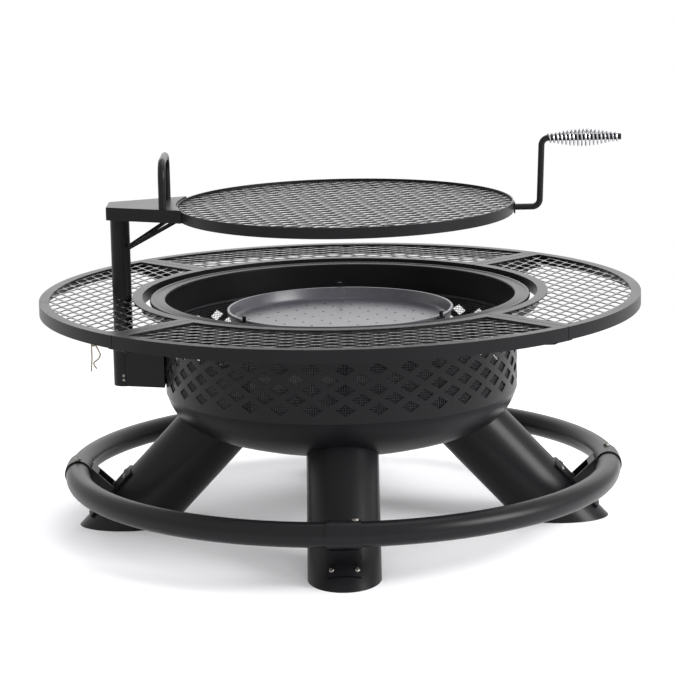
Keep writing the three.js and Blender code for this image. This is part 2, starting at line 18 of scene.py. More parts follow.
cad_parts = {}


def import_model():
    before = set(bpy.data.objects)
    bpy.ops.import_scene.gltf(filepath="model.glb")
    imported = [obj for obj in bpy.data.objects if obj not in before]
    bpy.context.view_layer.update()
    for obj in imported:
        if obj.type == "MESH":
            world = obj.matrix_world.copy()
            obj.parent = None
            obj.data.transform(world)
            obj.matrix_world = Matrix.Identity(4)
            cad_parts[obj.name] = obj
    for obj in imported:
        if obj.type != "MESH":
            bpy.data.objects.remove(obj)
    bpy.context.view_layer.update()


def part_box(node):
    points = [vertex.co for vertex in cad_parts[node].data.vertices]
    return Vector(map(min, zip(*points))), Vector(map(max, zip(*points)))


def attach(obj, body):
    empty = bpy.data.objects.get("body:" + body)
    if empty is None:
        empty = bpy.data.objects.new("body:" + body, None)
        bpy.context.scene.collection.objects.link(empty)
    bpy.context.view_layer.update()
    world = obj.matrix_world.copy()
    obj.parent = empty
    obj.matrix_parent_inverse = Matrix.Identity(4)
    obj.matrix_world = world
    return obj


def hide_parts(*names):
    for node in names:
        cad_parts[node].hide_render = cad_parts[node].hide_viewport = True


LOG = logging.getLogger("fire_pit")
MM = 0.001
TAU = 2 * math.pi
QUARTER = math.pi / 2
GAP = 0.3  # between two pieces that meet
SPARE = 1.0  # a cutter's reach past what it cuts
MERGE = 1e-3  # corners closer than this are one
SHARP_DEGREES = 32
SOFT_STEPS = 2

Solid = bmesh.types.BMesh
Tree = bpy.types.NodeTree
Socket = bpy.types.NodeSocket
Pair = tuple[float, float]
Profile = Sequence[Pair]


class Side(Enum):
    """The four sides, in quarter turns from +X."""

    RIGHT = 0
    BACK = 1
    LEFT = 2
    FRONT = 3


class Corner(Enum):
    """The four corners between the sides, in quarter turns from the first one."""

    BACK_RIGHT = 0
    BACK_LEFT = 1
    FRONT_LEFT = 2
    FRONT_RIGHT = 3


class Body(Enum):
    """The rigid bodies of the frame."""

    STAND = "stand"
    WASHER = "washer"
    GRILL = "grill"
    PIN = "pin"
    CLIP = "clip"
    PAN = "pan"


class Cut(Enum):
    """How two solids are combined."""

    JOIN = "UNION"
    CUT = "DIFFERENCE"
    KEEP = "INTERSECT"


# ---- Finishes ----


def linear(hex_colour: str) -> tuple[float, float, float, float]:
    """Turns an sRGB hex colour to linear values.

    Args:
        hex_colour: Six hex digits after a hash.

    Returns:
        Linear red, green, blue and an alpha of 1.
    """
    channels = [int(hex_colour[i : i + 2], 16) / 255 for i in (1, 3, 5)]
    red, green, blue = (
        c / 12.92 if c <= 0.04045 else ((c + 0.055) / 1.055) ** 2.4 for c in channels
    )
    return red, green, blue, 1.0


def add_node(
    tree: Tree, kind: str, inputs: dict[Any, Any] | None = None, **settings: Any
) -> bpy.types.Node:
    """Adds a node with its settings, values and links.

    Args:
        tree: The node tree.
        kind: The node's type name.
        inputs: Values or output sockets, by the input's name or number.
        **settings: The node's own properties.

    Returns:
        The new node.
    """
    node = tree.nodes.new(kind)
    for name, value in settings.items():
        setattr(node, name, value)
    for socket, value in (inputs or {}).items():
        if isinstance(value, Socket):
            tree.links.new(value, node.inputs[socket])
        else:
            node.inputs[socket].default_value = value
    return node


def empty_tree(owner: bpy.types.Material | bpy.types.World) -> Tree:
    """Turns on the nodes of a material or world, and clears them.

    Args:
        owner: The material or world.

    Returns:
        Its empty node tree.
    """
    owner.use_nodes = True
    owner.node_tree.nodes.clear()
    return owner.node_tree


def noise(tree: Tree, place: Socket, size_mm: float, detail: float) -> Socket:
    """Noise whose blotches have a real size."""
    inputs = {"Vector": place, "Scale": 1 / (size_mm * MM), "Detail": detail}
    return add_node(tree, "ShaderNodeTexNoise", inputs).outputs["Fac"]


def blend(tree: Tree, factor: Socket, first: Any, second: Any) -> Socket:
    """Two colours mixed by a factor."""
    inputs = {"Factor": factor, 6: first, 7: second}
    return add_node(tree, "ShaderNodeMix", inputs, data_type="RGBA").outputs[2]


def sum_of(tree: Tree, operation: str, first: Socket, second: Socket) -> Socket:
    """Two values worked into one."""
    return add_node(tree, "ShaderNodeMath", {0: first, 1: second}, operation=operation).outputs[0]


@dataclass(frozen=True)
class Finish:
    """A coated or bare metal surface: a mottled colour, a fine grain and scattered rubs.

    Scales are real sizes in millimetres.
    """

    name: str
    slot: str
    colour: str
    shade: str
    rub_colour: str
    roughness: Pair
    metallic: float = 0.0
    specular: float = 0.5
    mottle_mm: float = 90.0
    grain_mm: float = 5.0
    grain_height_mm: float = 0.05
    rub_share: float = 0.06
    rub_band: Pair = (0.62, 0.72)
    speck_grains: float = 3.0

    def material(self) -> bpy.types.Material:
        """Makes the material, or finds the one already made.

        Returns:
            The material.
        """
        made = bpy.data.materials.get(self.name)
        if made:
            return made
        made = bpy.data.materials.new(self.name)
        tree = empty_tree(made)
        place = add_node(tree, "ShaderNodeTexCoord").outputs["Object"]
        mottle = noise(tree, place, self.mottle_mm, 4.0)
        grain = noise(tree, place, self.grain_mm, 2.0)
        speck = noise(tree, place, self.speck_grains * self.grain_mm, 6.0)
        low, high = self.rub_band
        band = {"Value": speck, "From Min": low, "From Max": high, "To Max": self.rub_share}
        rubbed = add_node(tree, "ShaderNodeMapRange", band).outputs["Result"]
        base = blend(tree, mottle, linear(self.shade), linear(self.colour))
        low, high = self.roughness
        band = {"Value": mottle, "To Min": low, "To Max": high}
        rough = add_node(tree, "ShaderNodeMapRange", band).outputs["Result"]
        relief = {"Height": grain, "Strength": 1.0, "Distance": self.grain_height_mm * MM}
        coat = {
            "Base Color": blend(tree, rubbed, base, linear(self.rub_colour)),
            "Metallic": self.metallic,
            "Roughness": rough,
            "Specular IOR Level": self.specular,
            "Normal": add_node(tree, "ShaderNodeBump", relief).outputs["Normal"],
        }
        shader = add_node(tree, "ShaderNodeBsdfPrincipled", coat).outputs["BSDF"]
        add_node(tree, "ShaderNodeOutputMaterial", {"Surface": shader})
        return made


# Polyester powder coat, baked on rolled sheet. Its peel is about 1 mm and is drawn at 5 mm to show.
POWDER_COAT = Finish(
    name="satin_black_powder_coat",
    slot="black_paint",
    colour="#141416",
    shade="#0e0e10",
    rub_colour="#2e2e31",
    roughness=(0.3, 0.38),
    specular=0.17,
    grain_height_mm=0.04,
)
# The same coat on sheared strands, a little glossier where it has run thin over the edges.
STRAND_COAT = Finish(
    name="satin_black_coated_strands",
    slot="mesh_paint",
    colour="#121214",
    shade="#0c0c0e",
    rub_colour="#303033",
    roughness=(0.22, 0.32),
    specular=0.33,
    mottle_mm=35.0,
    grain_mm=3.0,
    rub_share=0.15,
)
# High-heat paint on fine wire: a greyer and rougher black than the powder coat.
HEAT_PAINT = Finish(
    name="matt_heat_paint_on_wire",
    slot="screen_paint",
    colour="#3a3a3d",
    shade="#2a2a2d",
    rub_colour="#4c4c4f",
    roughness=(0.36, 0.46),
    grain_mm=2.0,
)
# Rolled sheet under a thin grey coat: cloudy, and paler where it is seen at a low angle.
ROLLED_SHEET = Finish(
    name="grey_rolled_sheet",
    slot="pan_steel",
    colour="#4b4a51",
    shade="#3c3b42",
    rub_colour="#66656c",
    roughness=(0.26, 0.36),
    mottle_mm=60.0,
    rub_share=0.3,
)
# Zinc plate with a grey bloom: cloudy and dull between bright spots.
ZINC_PLATE = Finish(
    name="zinc_plated_steel",
    slot="zinc",
    colour="#8f8c87",
    shade="#6b6863",
    rub_colour="#c4c1bb",
    roughness=(0.28, 0.42),
    metallic=1.0,
    mottle_mm=6.0,
    grain_mm=1.5,
    grain_height_mm=0.02,
    rub_share=0.5,
)
# The same plate passivated yellow on the clip and its ring: brassy grey, mottled darker at random.
YELLOW_ZINC = Finish(
    name="yellow_zinc_plated_wire",
    slot="zinc",
    colour="#a39779",
    shade="#756a50",
    rub_colour="#cfc6ac",
    roughness=(0.3, 0.42),
    metallic=1.0,
    mottle_mm=7.0,
    grain_mm=1.5,
    grain_height_mm=0.02,
    rub_share=0.4,
)
# Drawn spring wire with bright nickel plate.
SPRING_WIRE = Finish(
    name="bright_plated_spring_wire",
    slot="spring_steel",
    colour="#cfcfd2",
    shade="#a9a9ad",
    rub_colour="#e6e6e8",
    roughness=(0.16, 0.28),
    metallic=1.0,
    mottle_mm=10.0,
    grain_mm=1.0,
    grain_height_mm=0.01,
)


# ---- Solids ----


def closed(bm: Solid) -> Solid:
    """Fills the open ends of a solid and turns its faces outwards.

    Args:
        bm: The solid.

    Returns:
        The same solid.
    """
    bmesh.ops.holes_fill(bm, edges=[e for e in bm.edges if e.is_boundary], sides=0)
    bmesh.ops.recalc_face_normals(bm, faces=bm.faces)
    return bm


def all_round(bm: Solid, count: int) -> Solid:
    """Repeats a solid round Z.

    Args:
        bm: The solid.
        count: How many there are in a full turn.

    Returns:
        The same mesh with all of them.
    """
    bmesh.ops.spin(
        bm,
        geom=[*bm.verts, *bm.edges, *bm.faces],
        cent=(0, 0, 0),
        axis=(0, 0, 1),
        angle=TAU * (count - 1) / count,
        steps=count - 1,
        use_duplicate=True,
    )
    return bm


def only(kind: type, made: Iterable[Any]) -> list[Any]:
    """The items of one kind in what an operator made."""
    return [item for item in made if isinstance(item, kind)]


def turned_profile(profile: Profile, steps: int, sweep: float = TAU, start: float = 0.0) -> Solid:
    """Turns a closed profile about Z.

    Args:
        profile: Radius and height of each corner.
        steps: Steps of the sweep.
        sweep: The angle swept, a full turn by default.
        start: The azimuth at which it starts.

    Returns:
        A closed solid.
    """
    bm = bmesh.new()
    turn = Matrix.Rotation(start, 4, "Z")
    verts = [bm.verts.new(turn @ Vector((r, 0, z))) for r, z in profile]
    edges = [bm.edges.new(pair) for pair in zip(verts, verts[1:] + verts[:1])]
    full = math.isclose(sweep, TAU)
    bmesh.ops.spin(
        bm,
        geom=verts + edges,
        cent=(0, 0, 0),
        axis=(0, 0, 1),
        angle=sweep,
        steps=steps,
        use_merge=full,
    )
    bmesh.ops.remove_doubles(bm, verts=bm.verts, dist=MERGE)
    bmesh.ops.dissolve_degenerate(bm, dist=MERGE / 10, edges=bm.edges)
    loose = [e for e in bm.edges if not e.link_faces]
    bmesh.ops.delete(bm, geom=loose, context="EDGES")
    if full:
        bmesh.ops.recalc_face_normals(bm, faces=bm.faces)
        return bm
    return closed(bm)


def circle_profile(radius: float, centre: Pair, sides: int) -> Profile:
    """The corners of a round section about a radius and height."""
    angles = (TAU * i / sides for i in range(sides))
    return [(centre[0] + radius * math.cos(a), centre[1] + radius * math.sin(a)) for a in angles]


def box_profile(inner: float, outer: float, low: float, high: float) -> Profile:
    """The corners of a rectangular section."""
    return [(inner, low), (outer, low), (outer, high), (inner, high)]


def joined_profile(*runs: tuple[Pair, Profile]) -> Profile:
    """Runs of corners in one profile, each an origin and its corners' offsets from it."""
    return [(x + out, z + up) for (x, z), run in runs for out, up in run]


def smooth_profile(points: Profile, per_span: int = 5) -> Profile:
    """Draws a smooth line through profile points.

    Args:
        points: The points that the line passes through.
        per_span: Steps between two points.

    Returns:
        The finer profile.
    """
    padded = [points[0], *points, points[-1]]
    fine = []
    for before, here, after, beyond in zip(padded, padded[1:], padded[2:], padded[3:]):
        for step in range(per_span):
            t = step / per_span
            fine.append(
                tuple(
                    0.5
                    * (
                        2 * q
                        + (r - p) * t
                        + (2 * p - 5 * q + 4 * r - s) * t**2
                        + (3 * q - p - 3 * r + s) * t**3
                    )
                    for p, q, r, s in zip(before, here, after, beyond)
                )
            )
    return [*fine, tuple(points[-1])]


def prism(outline: Profile, low: float, high: float) -> Solid:
    """An upright prism.

    Args:
        outline: Its corners in plan.
        low: The height of its bottom.
        high: The height of its top.

    Returns:
        A closed solid.
    """
    bm = bmesh.new()
    face = bm.faces.new([bm.verts.new((x, y, low)) for x, y in outline])
    raised = bmesh.ops.extrude_face_region(bm, geom=[face], use_keep_orig=True)["geom"]
    bmesh.ops.translate(bm, verts=only(bmesh.types.BMVert, raised), vec=(0, 0, high - low))
    bmesh.ops.recalc_face_normals(bm, faces=bm.faces)
    return bm


def block(low: Sequence[float], high: Sequence[float]) -> Solid:
    """A box.

    Args:
        low: Its corner with the lowest values.
        high: Its corner with the highest values.

    Returns:
        A closed solid.
    """
    bm = bmesh.new()
    bmesh.ops.create_cube(bm, size=1)
    size = Vector(high) - Vector(low)
    bmesh.ops.scale(bm, vec=size, verts=bm.verts)
    bmesh.ops.translate(bm, vec=Vector(low) + size / 2, verts=bm.verts)
    return bm


def rod(start: Vector, end: Vector, radius: float, sides: int) -> Solid:
    """A straight round bar.

    Args:
        start: One end of its axis.
        end: The other end.
        radius: The bar's radius.
        sides: Sides of its section.

    Returns:
        A closed solid.
    """
    bm = bmesh.new()
    along = end - start
    turn = along.to_track_quat("Z", "Y").to_matrix().to_4x4()
    bmesh.ops.create_cone(
        bm,
        cap_ends=True,
        segments=sides,
        radius1=radius,
        radius2=radius,
        depth=along.length,
        matrix=Matrix.Translation((start + end) / 2) @ turn,
    )
    return bm


def moved(bm: Solid, matrix: Matrix) -> Solid:
    """Moves a solid by a matrix and returns it."""
    bmesh.ops.transform(bm, matrix=matrix, verts=bm.verts)
    return bm


def turned_copy(bm: Solid, quarters: float) -> Solid:
    """A copy turned about Z by a number of quarter turns."""
    return moved(bm.copy(), Matrix.Rotation(quarters * QUARTER, 4, "Z"))


def together(*parts: Solid) -> Solid:
    """Puts several solids in one mesh, each still a solid of its own.

    Args:
        *parts: The solids, which are used up.

    Returns:
        The mesh of all of them.
    """
    whole = bmesh.new()
    for part in parts:
        mesh = bpy.data.meshes.new("part")
        part.to_mesh(mesh)
        part.free()
        whole.from_mesh(mesh)
        bpy.data.meshes.remove(mesh)
    return whole


def scene_object(name: str, data: bpy.types.ID) -> bpy.types.Object:
    """Makes an object of its data and puts it in the scene.

    Args:
        name: The object's name.
        data: Its mesh, curve, lamp or camera.

    Returns:
        The object.
    """
    made = bpy.data.objects.new(name, data)
    bpy.context.scene.collection.objects.link(made)
    return made


def mesh_object(name: str, bm: Solid) -> bpy.types.Object:
    """Makes an object of a solid and puts it in the scene.

    Args:
        name: The name of the object and its mesh.
        bm: The solid, which is used up.

    Returns:
        The object.
    """
    mesh = bpy.data.meshes.new(name)
    bm.to_mesh(mesh)
    bm.free()
    return scene_object(name, mesh)


def combined(target: Solid, tool: Solid, how: Cut) -> Solid:
    """Joins, cuts or keeps one solid by another. Both are used up.

    Args:
        target: The solid that is changed.
        tool: The solid that changes it.
        how: The operation.

    Returns:
        The new solid.
    """
    worked, cutter = mesh_object("worked", target), mesh_object("cutter", tool)
    modifier = worked.modifiers.new("combine", "BOOLEAN")
    modifier.operation = how.value
    modifier.solver = "MANIFOLD"
    modifier.object = cutter
    bpy.context.view_layer.update()
    result = bmesh.new()
    result.from_object(worked, bpy.context.evaluated_depsgraph_get())
    for used in (worked, cutter):
        mesh = used.data
        bpy.data.objects.remove(used)
        bpy.data.meshes.remove(mesh)
    if not result.faces:
        raise RuntimeError(f"a {how.name.lower()} left nothing")
    return result


def bent_path(corners: Sequence[Vector], bend: float, steps: int = 12) -> list[Vector]:
    """The points of a rod that is bent at its inner corners.

    Args:
        corners: The ends and the corners.
        bend: The radius of each bend.
        steps: Points in each bend.

    Returns:
        The centreline's points.
    """
    points = [corners[0]]
    for before, here, after in zip(corners, corners[1:], corners[2:]):
        to_before, to_after = (before - here).normalized(), (after - here).normalized()
        half = to_before.angle(to_after) / 2
        setback = bend / math.tan(half)
        middle = here + (to_before + to_after).normalized() * (bend / math.sin(half))
        first, last = here + to_before * setback - middle, here + to_after * setback - middle
        points += [middle + first.slerp(last, i / steps) * bend for i in range(steps + 1)]
    return [*points, corners[-1]]


def swept(points: Sequence[Vector], radius: float, sides: int = 24) -> Solid:
    """A round bar or wire along a line of points.

    Args:
        points: The centreline.
        radius: The bar's radius.
        sides: Sides of its section, an even number.

    Returns:
        A closed solid.
    """
    curve = bpy.data.curves.new("line", "CURVE")
    curve.dimensions = "3D"
    curve.bevel_depth = radius
    curve.bevel_resolution = sides // 2 - 2
    curve.use_fill_caps = True
    spline = curve.splines.new("POLY")
    spline.points.add(len(points) - 1)
    for spot, point in zip(spline.points, points):
        spot.co = (*point, 1)
    line = scene_object("line", curve)
    bpy.context.view_layer.update()
    finished = line.evaluated_get(bpy.context.evaluated_depsgraph_get())
    mesh = bpy.data.meshes.new_from_object(finished)
    bm = bmesh.new()
    bm.from_mesh(mesh)
    bpy.data.objects.remove(line)
    bpy.data.curves.remove(curve)
    bpy.data.meshes.remove(mesh)
    bmesh.ops.remove_doubles(bm, verts=bm.verts, dist=MERGE)
    bmesh.ops.recalc_face_normals(bm, faces=bm.faces)
    return bm


def node_copy(node: str) -> Solid:
    """Copies a CAD node, with its flat faces merged.

    Args:
        node: The node's name.

    Returns:
        A closed solid in millimetres.
    """
    bm = bmesh.new()
    bm.from_mesh(bpy.data.objects[node].data)
    bmesh.ops.scale(bm, vec=(1 / MM,) * 3, verts=bm.verts)
    bmesh.ops.remove_doubles(bm, verts=bm.verts, dist=MERGE)
    flat = math.radians(1)
    bmesh.ops.dissolve_limit(bm, angle_limit=flat, verts=bm.verts, edges=bm.edges)
    return bm


def fitted(
    name: str,
    bm: Solid,
    finish: Finish,
    body: Body,
    nodes: Iterable[str] = (),
    soften: float = 0.0,
) -> None:
    """Makes a finished piece of a solid, and puts it on its body.

    Args:
        name: The piece's name.
        bm: The solid in millimetres, which is used up.
        finish: Its finish.
        body: The body that it rides on.
        nodes: The CAD nodes that it stands for.
        soften: The radius of its edges, or 0 for edges as they are.
    """
    bmesh.ops.scale(bm, vec=(MM,) * 3, verts=bm.verts)
    made = mesh_object(name, bm)
    mesh = made.data
    mesh.materials.clear()
    mesh.materials.append(finish.material())
    mesh.polygons.foreach_set("material_index", [0] * len(mesh.polygons))
    mesh.polygons.foreach_set("use_smooth", [True] * len(mesh.polygons))
    mesh.set_sharp_from_angle(angle=math.radians(SHARP_DEGREES))
    if soften:
        bevel = made.modifiers.new("soften", "BEVEL")
        bevel.width = soften * MM
        bevel.segments = SOFT_STEPS
        bevel.limit_method = "ANGLE"
        bevel.angle_limit = math.radians(SHARP_DEGREES)
        bevel.harden_normals = True
    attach(made, body.value)
    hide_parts(*nodes)
    LOG.info("%s: %d faces on %s", name, len(mesh.polygons), body.value)


def stand_in(
    node: str, ending: str, bm: Solid, finish: Finish, body: Body, soften: float = 0.0
) -> None:
    """Builds the piece that stands for one CAD node and is named after it."""
    fitted(f"{node}_{ending}", bm, finish, body, [node], soften)


def coated_copy(node: str, ending: str, body: Body, soften: float) -> None:
    """Builds a coated piece that has the shape of its CAD node."""
    stand_in(node, ending, node_copy(node), POWDER_COAT, body, soften)


# ---- Bowl ----


@dataclass
class Bowl:
    """The fire bowl: its lattice wall, rolled rim, dished base and spark screen."""

    radius: float = 353.0
    sheet: float = 3.0
    wall_bottom: float = 276.0
    rim_top: float = 466.0
    rim_radius: float = 380.0
    # Corners of the rim's section: from the rim's outer edge, then from its inner edge.
    lip: Profile = (
        (-4, -3), (-4, -9), (-1.5, -9), (-0.4, -8.2), (0, -7), (0, -3), (-0.6, -1.4), (-2, -0.3),
        (-3.5, 0), (-6.5, -0.2), (-8, -1), (-9.2, -1.9), (-10.6, -1.9), (-11.8, -1.2),
    )
    bead: Profile = ((7, -1), (5, -0.3), (3, 0), (1, -0.5), (0, -1.7), (0, -3))
    steps: int = 280
    columns: int = 35
    rows: int = 5
    top_row: float = 381.5
    row_pitch: float = 19.5
    diamond: Pair = (19.0, 11.5)
    turn: float = math.radians(1.2)
    seam_step: float = 1.0
    dish_depth: float = 100.0
    fill_height: float = 150.0
    # The dish's profile: share of the seam's radius, and share of its depth.
    dish_shape: Profile = (
        (0, 1), (0.52, 0.975), (0.7, 0.86), (0.84, 0.68), (0.935, 0.44), (0.98, 0.2), (1, 0),
    )
    screen_bottom: float = 281.0
    screen_top: float = 410.0
    screen_pitch: float = 4.7
    screen_wire: float = 0.5
    wire_sides: int = 4
    screen_wave: Pair = (1.3, 8.0)
    screen_gap: float = 0.7
    screen_lap: float = 0.1
    hem: float = 4.0
    hem_sheet: float = 0.6

    def wall(self) -> Solid:
        """Rolls the wall and cuts its rows of diamonds.

        Returns:
            A closed solid.
        """
        inner, top = self.radius - self.sheet, self.rim_top - self.sheet - GAP
        shell = turned_profile(box_profile(inner, self.radius, self.wall_bottom, top), self.steps)
        wide, high = self.diamond
        reach = 4 * self.sheet
        cutters = []
        for row in range(self.rows):
            cutter = prism([(wide, 0), (0, high), (-wide, 0), (0, -high)], -reach, reach)
            angle = (row % 2) / 2 * TAU / self.columns + self.turn
            spot = Vector((0, -self.radius, self.top_row - row * self.row_pitch))
            place = Matrix.Rotation(angle, 4, "Z") @ Matrix.Translation(spot)
            moved(cutter, place @ Matrix.Rotation(QUARTER, 4, "X"))
            cutters.append(all_round(cutter, self.columns))
        # Neighbouring rows nearly touch, so each parity is cut on its own.
        for parity in (0, 1):
            shell = combined(shell, together(*cutters[parity::2]), Cut.CUT)
        return shell

    def rim(self) -> Solid:
        """The flange with a bead at its inner edge, a pressed groove and a rolled lip."""
        edge, outside = (self.radius - self.sheet, self.rim_top), (self.rim_radius, self.rim_top)
        return turned_profile(joined_profile((outside, self.lip), (edge, self.bead)), self.steps)

    def dish_profile(self, offset: float) -> Profile:
        """The dish's smooth profile from its centre to the seam.

        Args:
            offset: How far it is moved outwards.

        Returns:
            The profile, which is still open.
        """
        top, seam = self.wall_bottom - GAP, self.radius - self.seam_step
        outer = [(seam * r, top - self.dish_depth * z) for r, z in self.dish_shape]
        fine = smooth_profile(outer)
        shifted = []
        for before, here, after in zip([fine[0], *fine], fine, [*fine[1:], fine[-1]]):
            along = Vector((after[0] - before[0], after[1] - before[1])).normalized()
            shifted.append((max(here[0] + along.y * offset, 0.0), here[1] - along.x * offset))
        shifted[0] = (0.0, shifted[0][1])
        return [*shifted[:-1], (seam + offset, top)]

    def base(self) -> Solid:
        """The dished base."""
        inside = self.dish_profile(-self.sheet)
        return turned_profile([*self.dish_profile(0), *reversed(inside)], self.steps // 2)

    def filled_base(self, clearance: float) -> Solid:
        """A solid a little larger than the dish, which cuts the legs to it."""
        outside = self.dish_profile(clearance)
        edge, above = outside[-1][0], self.wall_bottom + self.fill_height
        return turned_profile([*outside, (edge, above), (0, above)], self.steps // 2)

    def screen_face(self) -> float:
        """The radius of the spark screen's outer side."""
        return self.radius - self.sheet - self.screen_gap

    def screen_wires(self) -> Solid:
        """Draws the screen's waved upright wires.

        Returns:
            A mesh of closed wires.
        """
        radius = self.screen_face() - self.screen_wire
        wires = round(TAU * radius / self.screen_pitch)
        sway, rise = self.screen_wave
        wire = bmesh.new()
        bmesh.ops.create_circle(wire, segments=self.wire_sides, radius=self.screen_wire)
        moved(wire, Matrix.Translation((radius, -sway / 2, self.screen_bottom)))
        edges = wire.edges[:]
        for step in range(int((self.screen_top - self.screen_bottom) / rise)):
            grown = bmesh.ops.extrude_edge_only(wire, edges=edges)["geom"]
            edges, verts = only(bmesh.types.BMEdge, grown), only(bmesh.types.BMVert, grown)
            bmesh.ops.translate(wire, verts=verts, vec=(0, -sway if step % 2 else sway, rise))
        return all_round(closed(wire), wires)

    def screen_rings(self) -> Solid:
        """Draws the screen's level wires, and the hem at its top and bottom.

        Returns:
            A mesh of closed rings.
        """
        radius = self.screen_face() - 2 * self.screen_wire - self.screen_lap
        low, high = self.screen_bottom, self.screen_top
        count = round((high - low) / self.screen_pitch)
        rings = []
        for i in range(1, count):
            spot = (radius, low + (high - low) * i / count)
            section = circle_profile(self.screen_wire, spot, self.wire_sides)
            rings.append(turned_profile(section, self.steps // 2))
        inner = radius - self.screen_wire - self.hem_sheet
        for start in (low, high - self.hem):
            section = box_profile(inner, inner + self.hem_sheet, start, start + self.hem)
            rings.append(turned_profile(section, self.steps // 2))
        return together(*rings)

    def build(self) -> None:
        """Builds and dresses the bowl."""
        stand = Body.STAND
        stand_in("bowl_wall", "lattice", self.wall(), POWDER_COAT, stand, 0.5)
        stand_in("bowl_rim", "rolled", self.rim(), POWDER_COAT, stand)
        stand_in("bowl_base", "dish", self.base(), POWDER_COAT, stand, 0.5)
        stand_in("spark_screen", "uprights", self.screen_wires(), HEAT_PAINT, stand)
        fitted("spark_screen_rings", self.screen_rings(), HEAT_PAINT, stand)


# ---- Charcoal pan ----


@dataclass
class CharcoalPan:
    """The pan that lifts out, with a drilled floor and three flat legs."""

    rim_radius: float = 227.0
    rim_top: float = 439.0
    wall_radius: float = 223.0
    floor_radius: float = 211.0
    floor: float = 415.0
    sheet: float = 2.0
    hole_radius: float = 3.0
    hole_sides: int = 14
    hole_pitch: float = 41.0
    hole_turn: float = math.radians(25)
    steps: int = 180
    legs: int = 3
    # Corners of its section: from the floor's edge, the wall's ends and the rim's edge.
    under_edge: Profile = ((-3, 0), (1, 0), (5, 0.8))
    outer_bend: Profile = ((-3.4, 1.8), (-1.6, 5))
    neck: Profile = ((0, -6),)
    rim_roll: Profile = ((-1.2, -5.6), (-0.2, -4.6), (0, -3), (-0.2, -1.4), (-1.2, -0.3))
    mouth: Profile = ((1, 0), (-1.2, -0.3), (-2, -1.4))
    inner_bend: Profile = ((-3.6, 6.5), (-5.2, 3), (-8, 1.2))
    floor_edge: Profile = ((0, 0), (-3, 0))

    def pan(self) -> Solid:
        """Presses the pan and drills its grid of drain holes.

        Returns:
            A closed solid.
        """
        wall, top, floor = self.wall_radius, self.rim_top, self.floor
        under, flat = floor - self.sheet, self.floor_radius
        section = joined_profile(
            ((0, under), [(0, 0)]),
            ((flat, under), self.under_edge),
            ((wall, floor), self.outer_bend),
            ((wall, top), self.neck),
            ((self.rim_radius, top), self.rim_roll),
            ((wall, top), self.mouth),
            ((wall, floor), self.inner_bend),
            ((flat, floor), self.floor_edge),
            ((0, floor), [(0, 0)]),
        )
        shell = turned_profile(section, self.steps)
        reach = int(flat // self.hole_pitch) + 1
        turn = Matrix.Rotation(self.hole_turn, 4, "Z")
        drills = []
        for i in range(-reach, reach + 1):
            for j in range(-reach, reach + 1):
                spot = turn @ Vector((i * self.hole_pitch, j * self.hole_pitch, 0))
                if spot.length < flat - 2 * self.hole_radius:
                    low = Vector((spot.x, spot.y, floor - 3 * self.sheet))
                    high = Vector((spot.x, spot.y, floor + self.sheet))
                    drills.append(rod(low, high, self.hole_radius, self.hole_sides))
        return combined(shell, together(*drills), Cut.CUT)

    def build(self) -> None:
        """Builds and dresses the pan and its legs."""
        stand_in("charcoal_pan", "drilled", self.pan(), ROLLED_SHEET, Body.PAN)
        for number in range(1, self.legs + 1):
            coated_copy(f"pan_leg_{number}", "bar", Body.PAN, 0.6)


# ---- Legs and foot rail ----


@dataclass(frozen=True)
class Screw:
    """A button-headed screw with a hex socket."""

    head: float
    height: float
    shank: float
    length: float
    sides: int = 24
    # Corners of the head, as shares of its radius and height.
    dome: Profile = ((1, 0), (1, 0.28), (0.9, 0.6), (0.68, 0.88), (0.4, 1), (0, 1))
    socket: float = 0.4

    def solid(self) -> Solid:
        """Makes the screw, with its head standing on the ground plane.

        Returns:
            A closed solid.
        """
        profile = [(0, -self.length), (self.shank, -self.length), (self.shank, 0)]
        profile += [(self.head * out, self.height * up) for out, up in self.dome]
        low, high = Vector((0, 0, self.height * self.socket)), Vector((0, 0, 2 * self.height))
        hexagon = rod(low, high, self.head * self.socket, 6)
        return combined(turned_profile(profile, self.sides), hexagon, Cut.CUT)


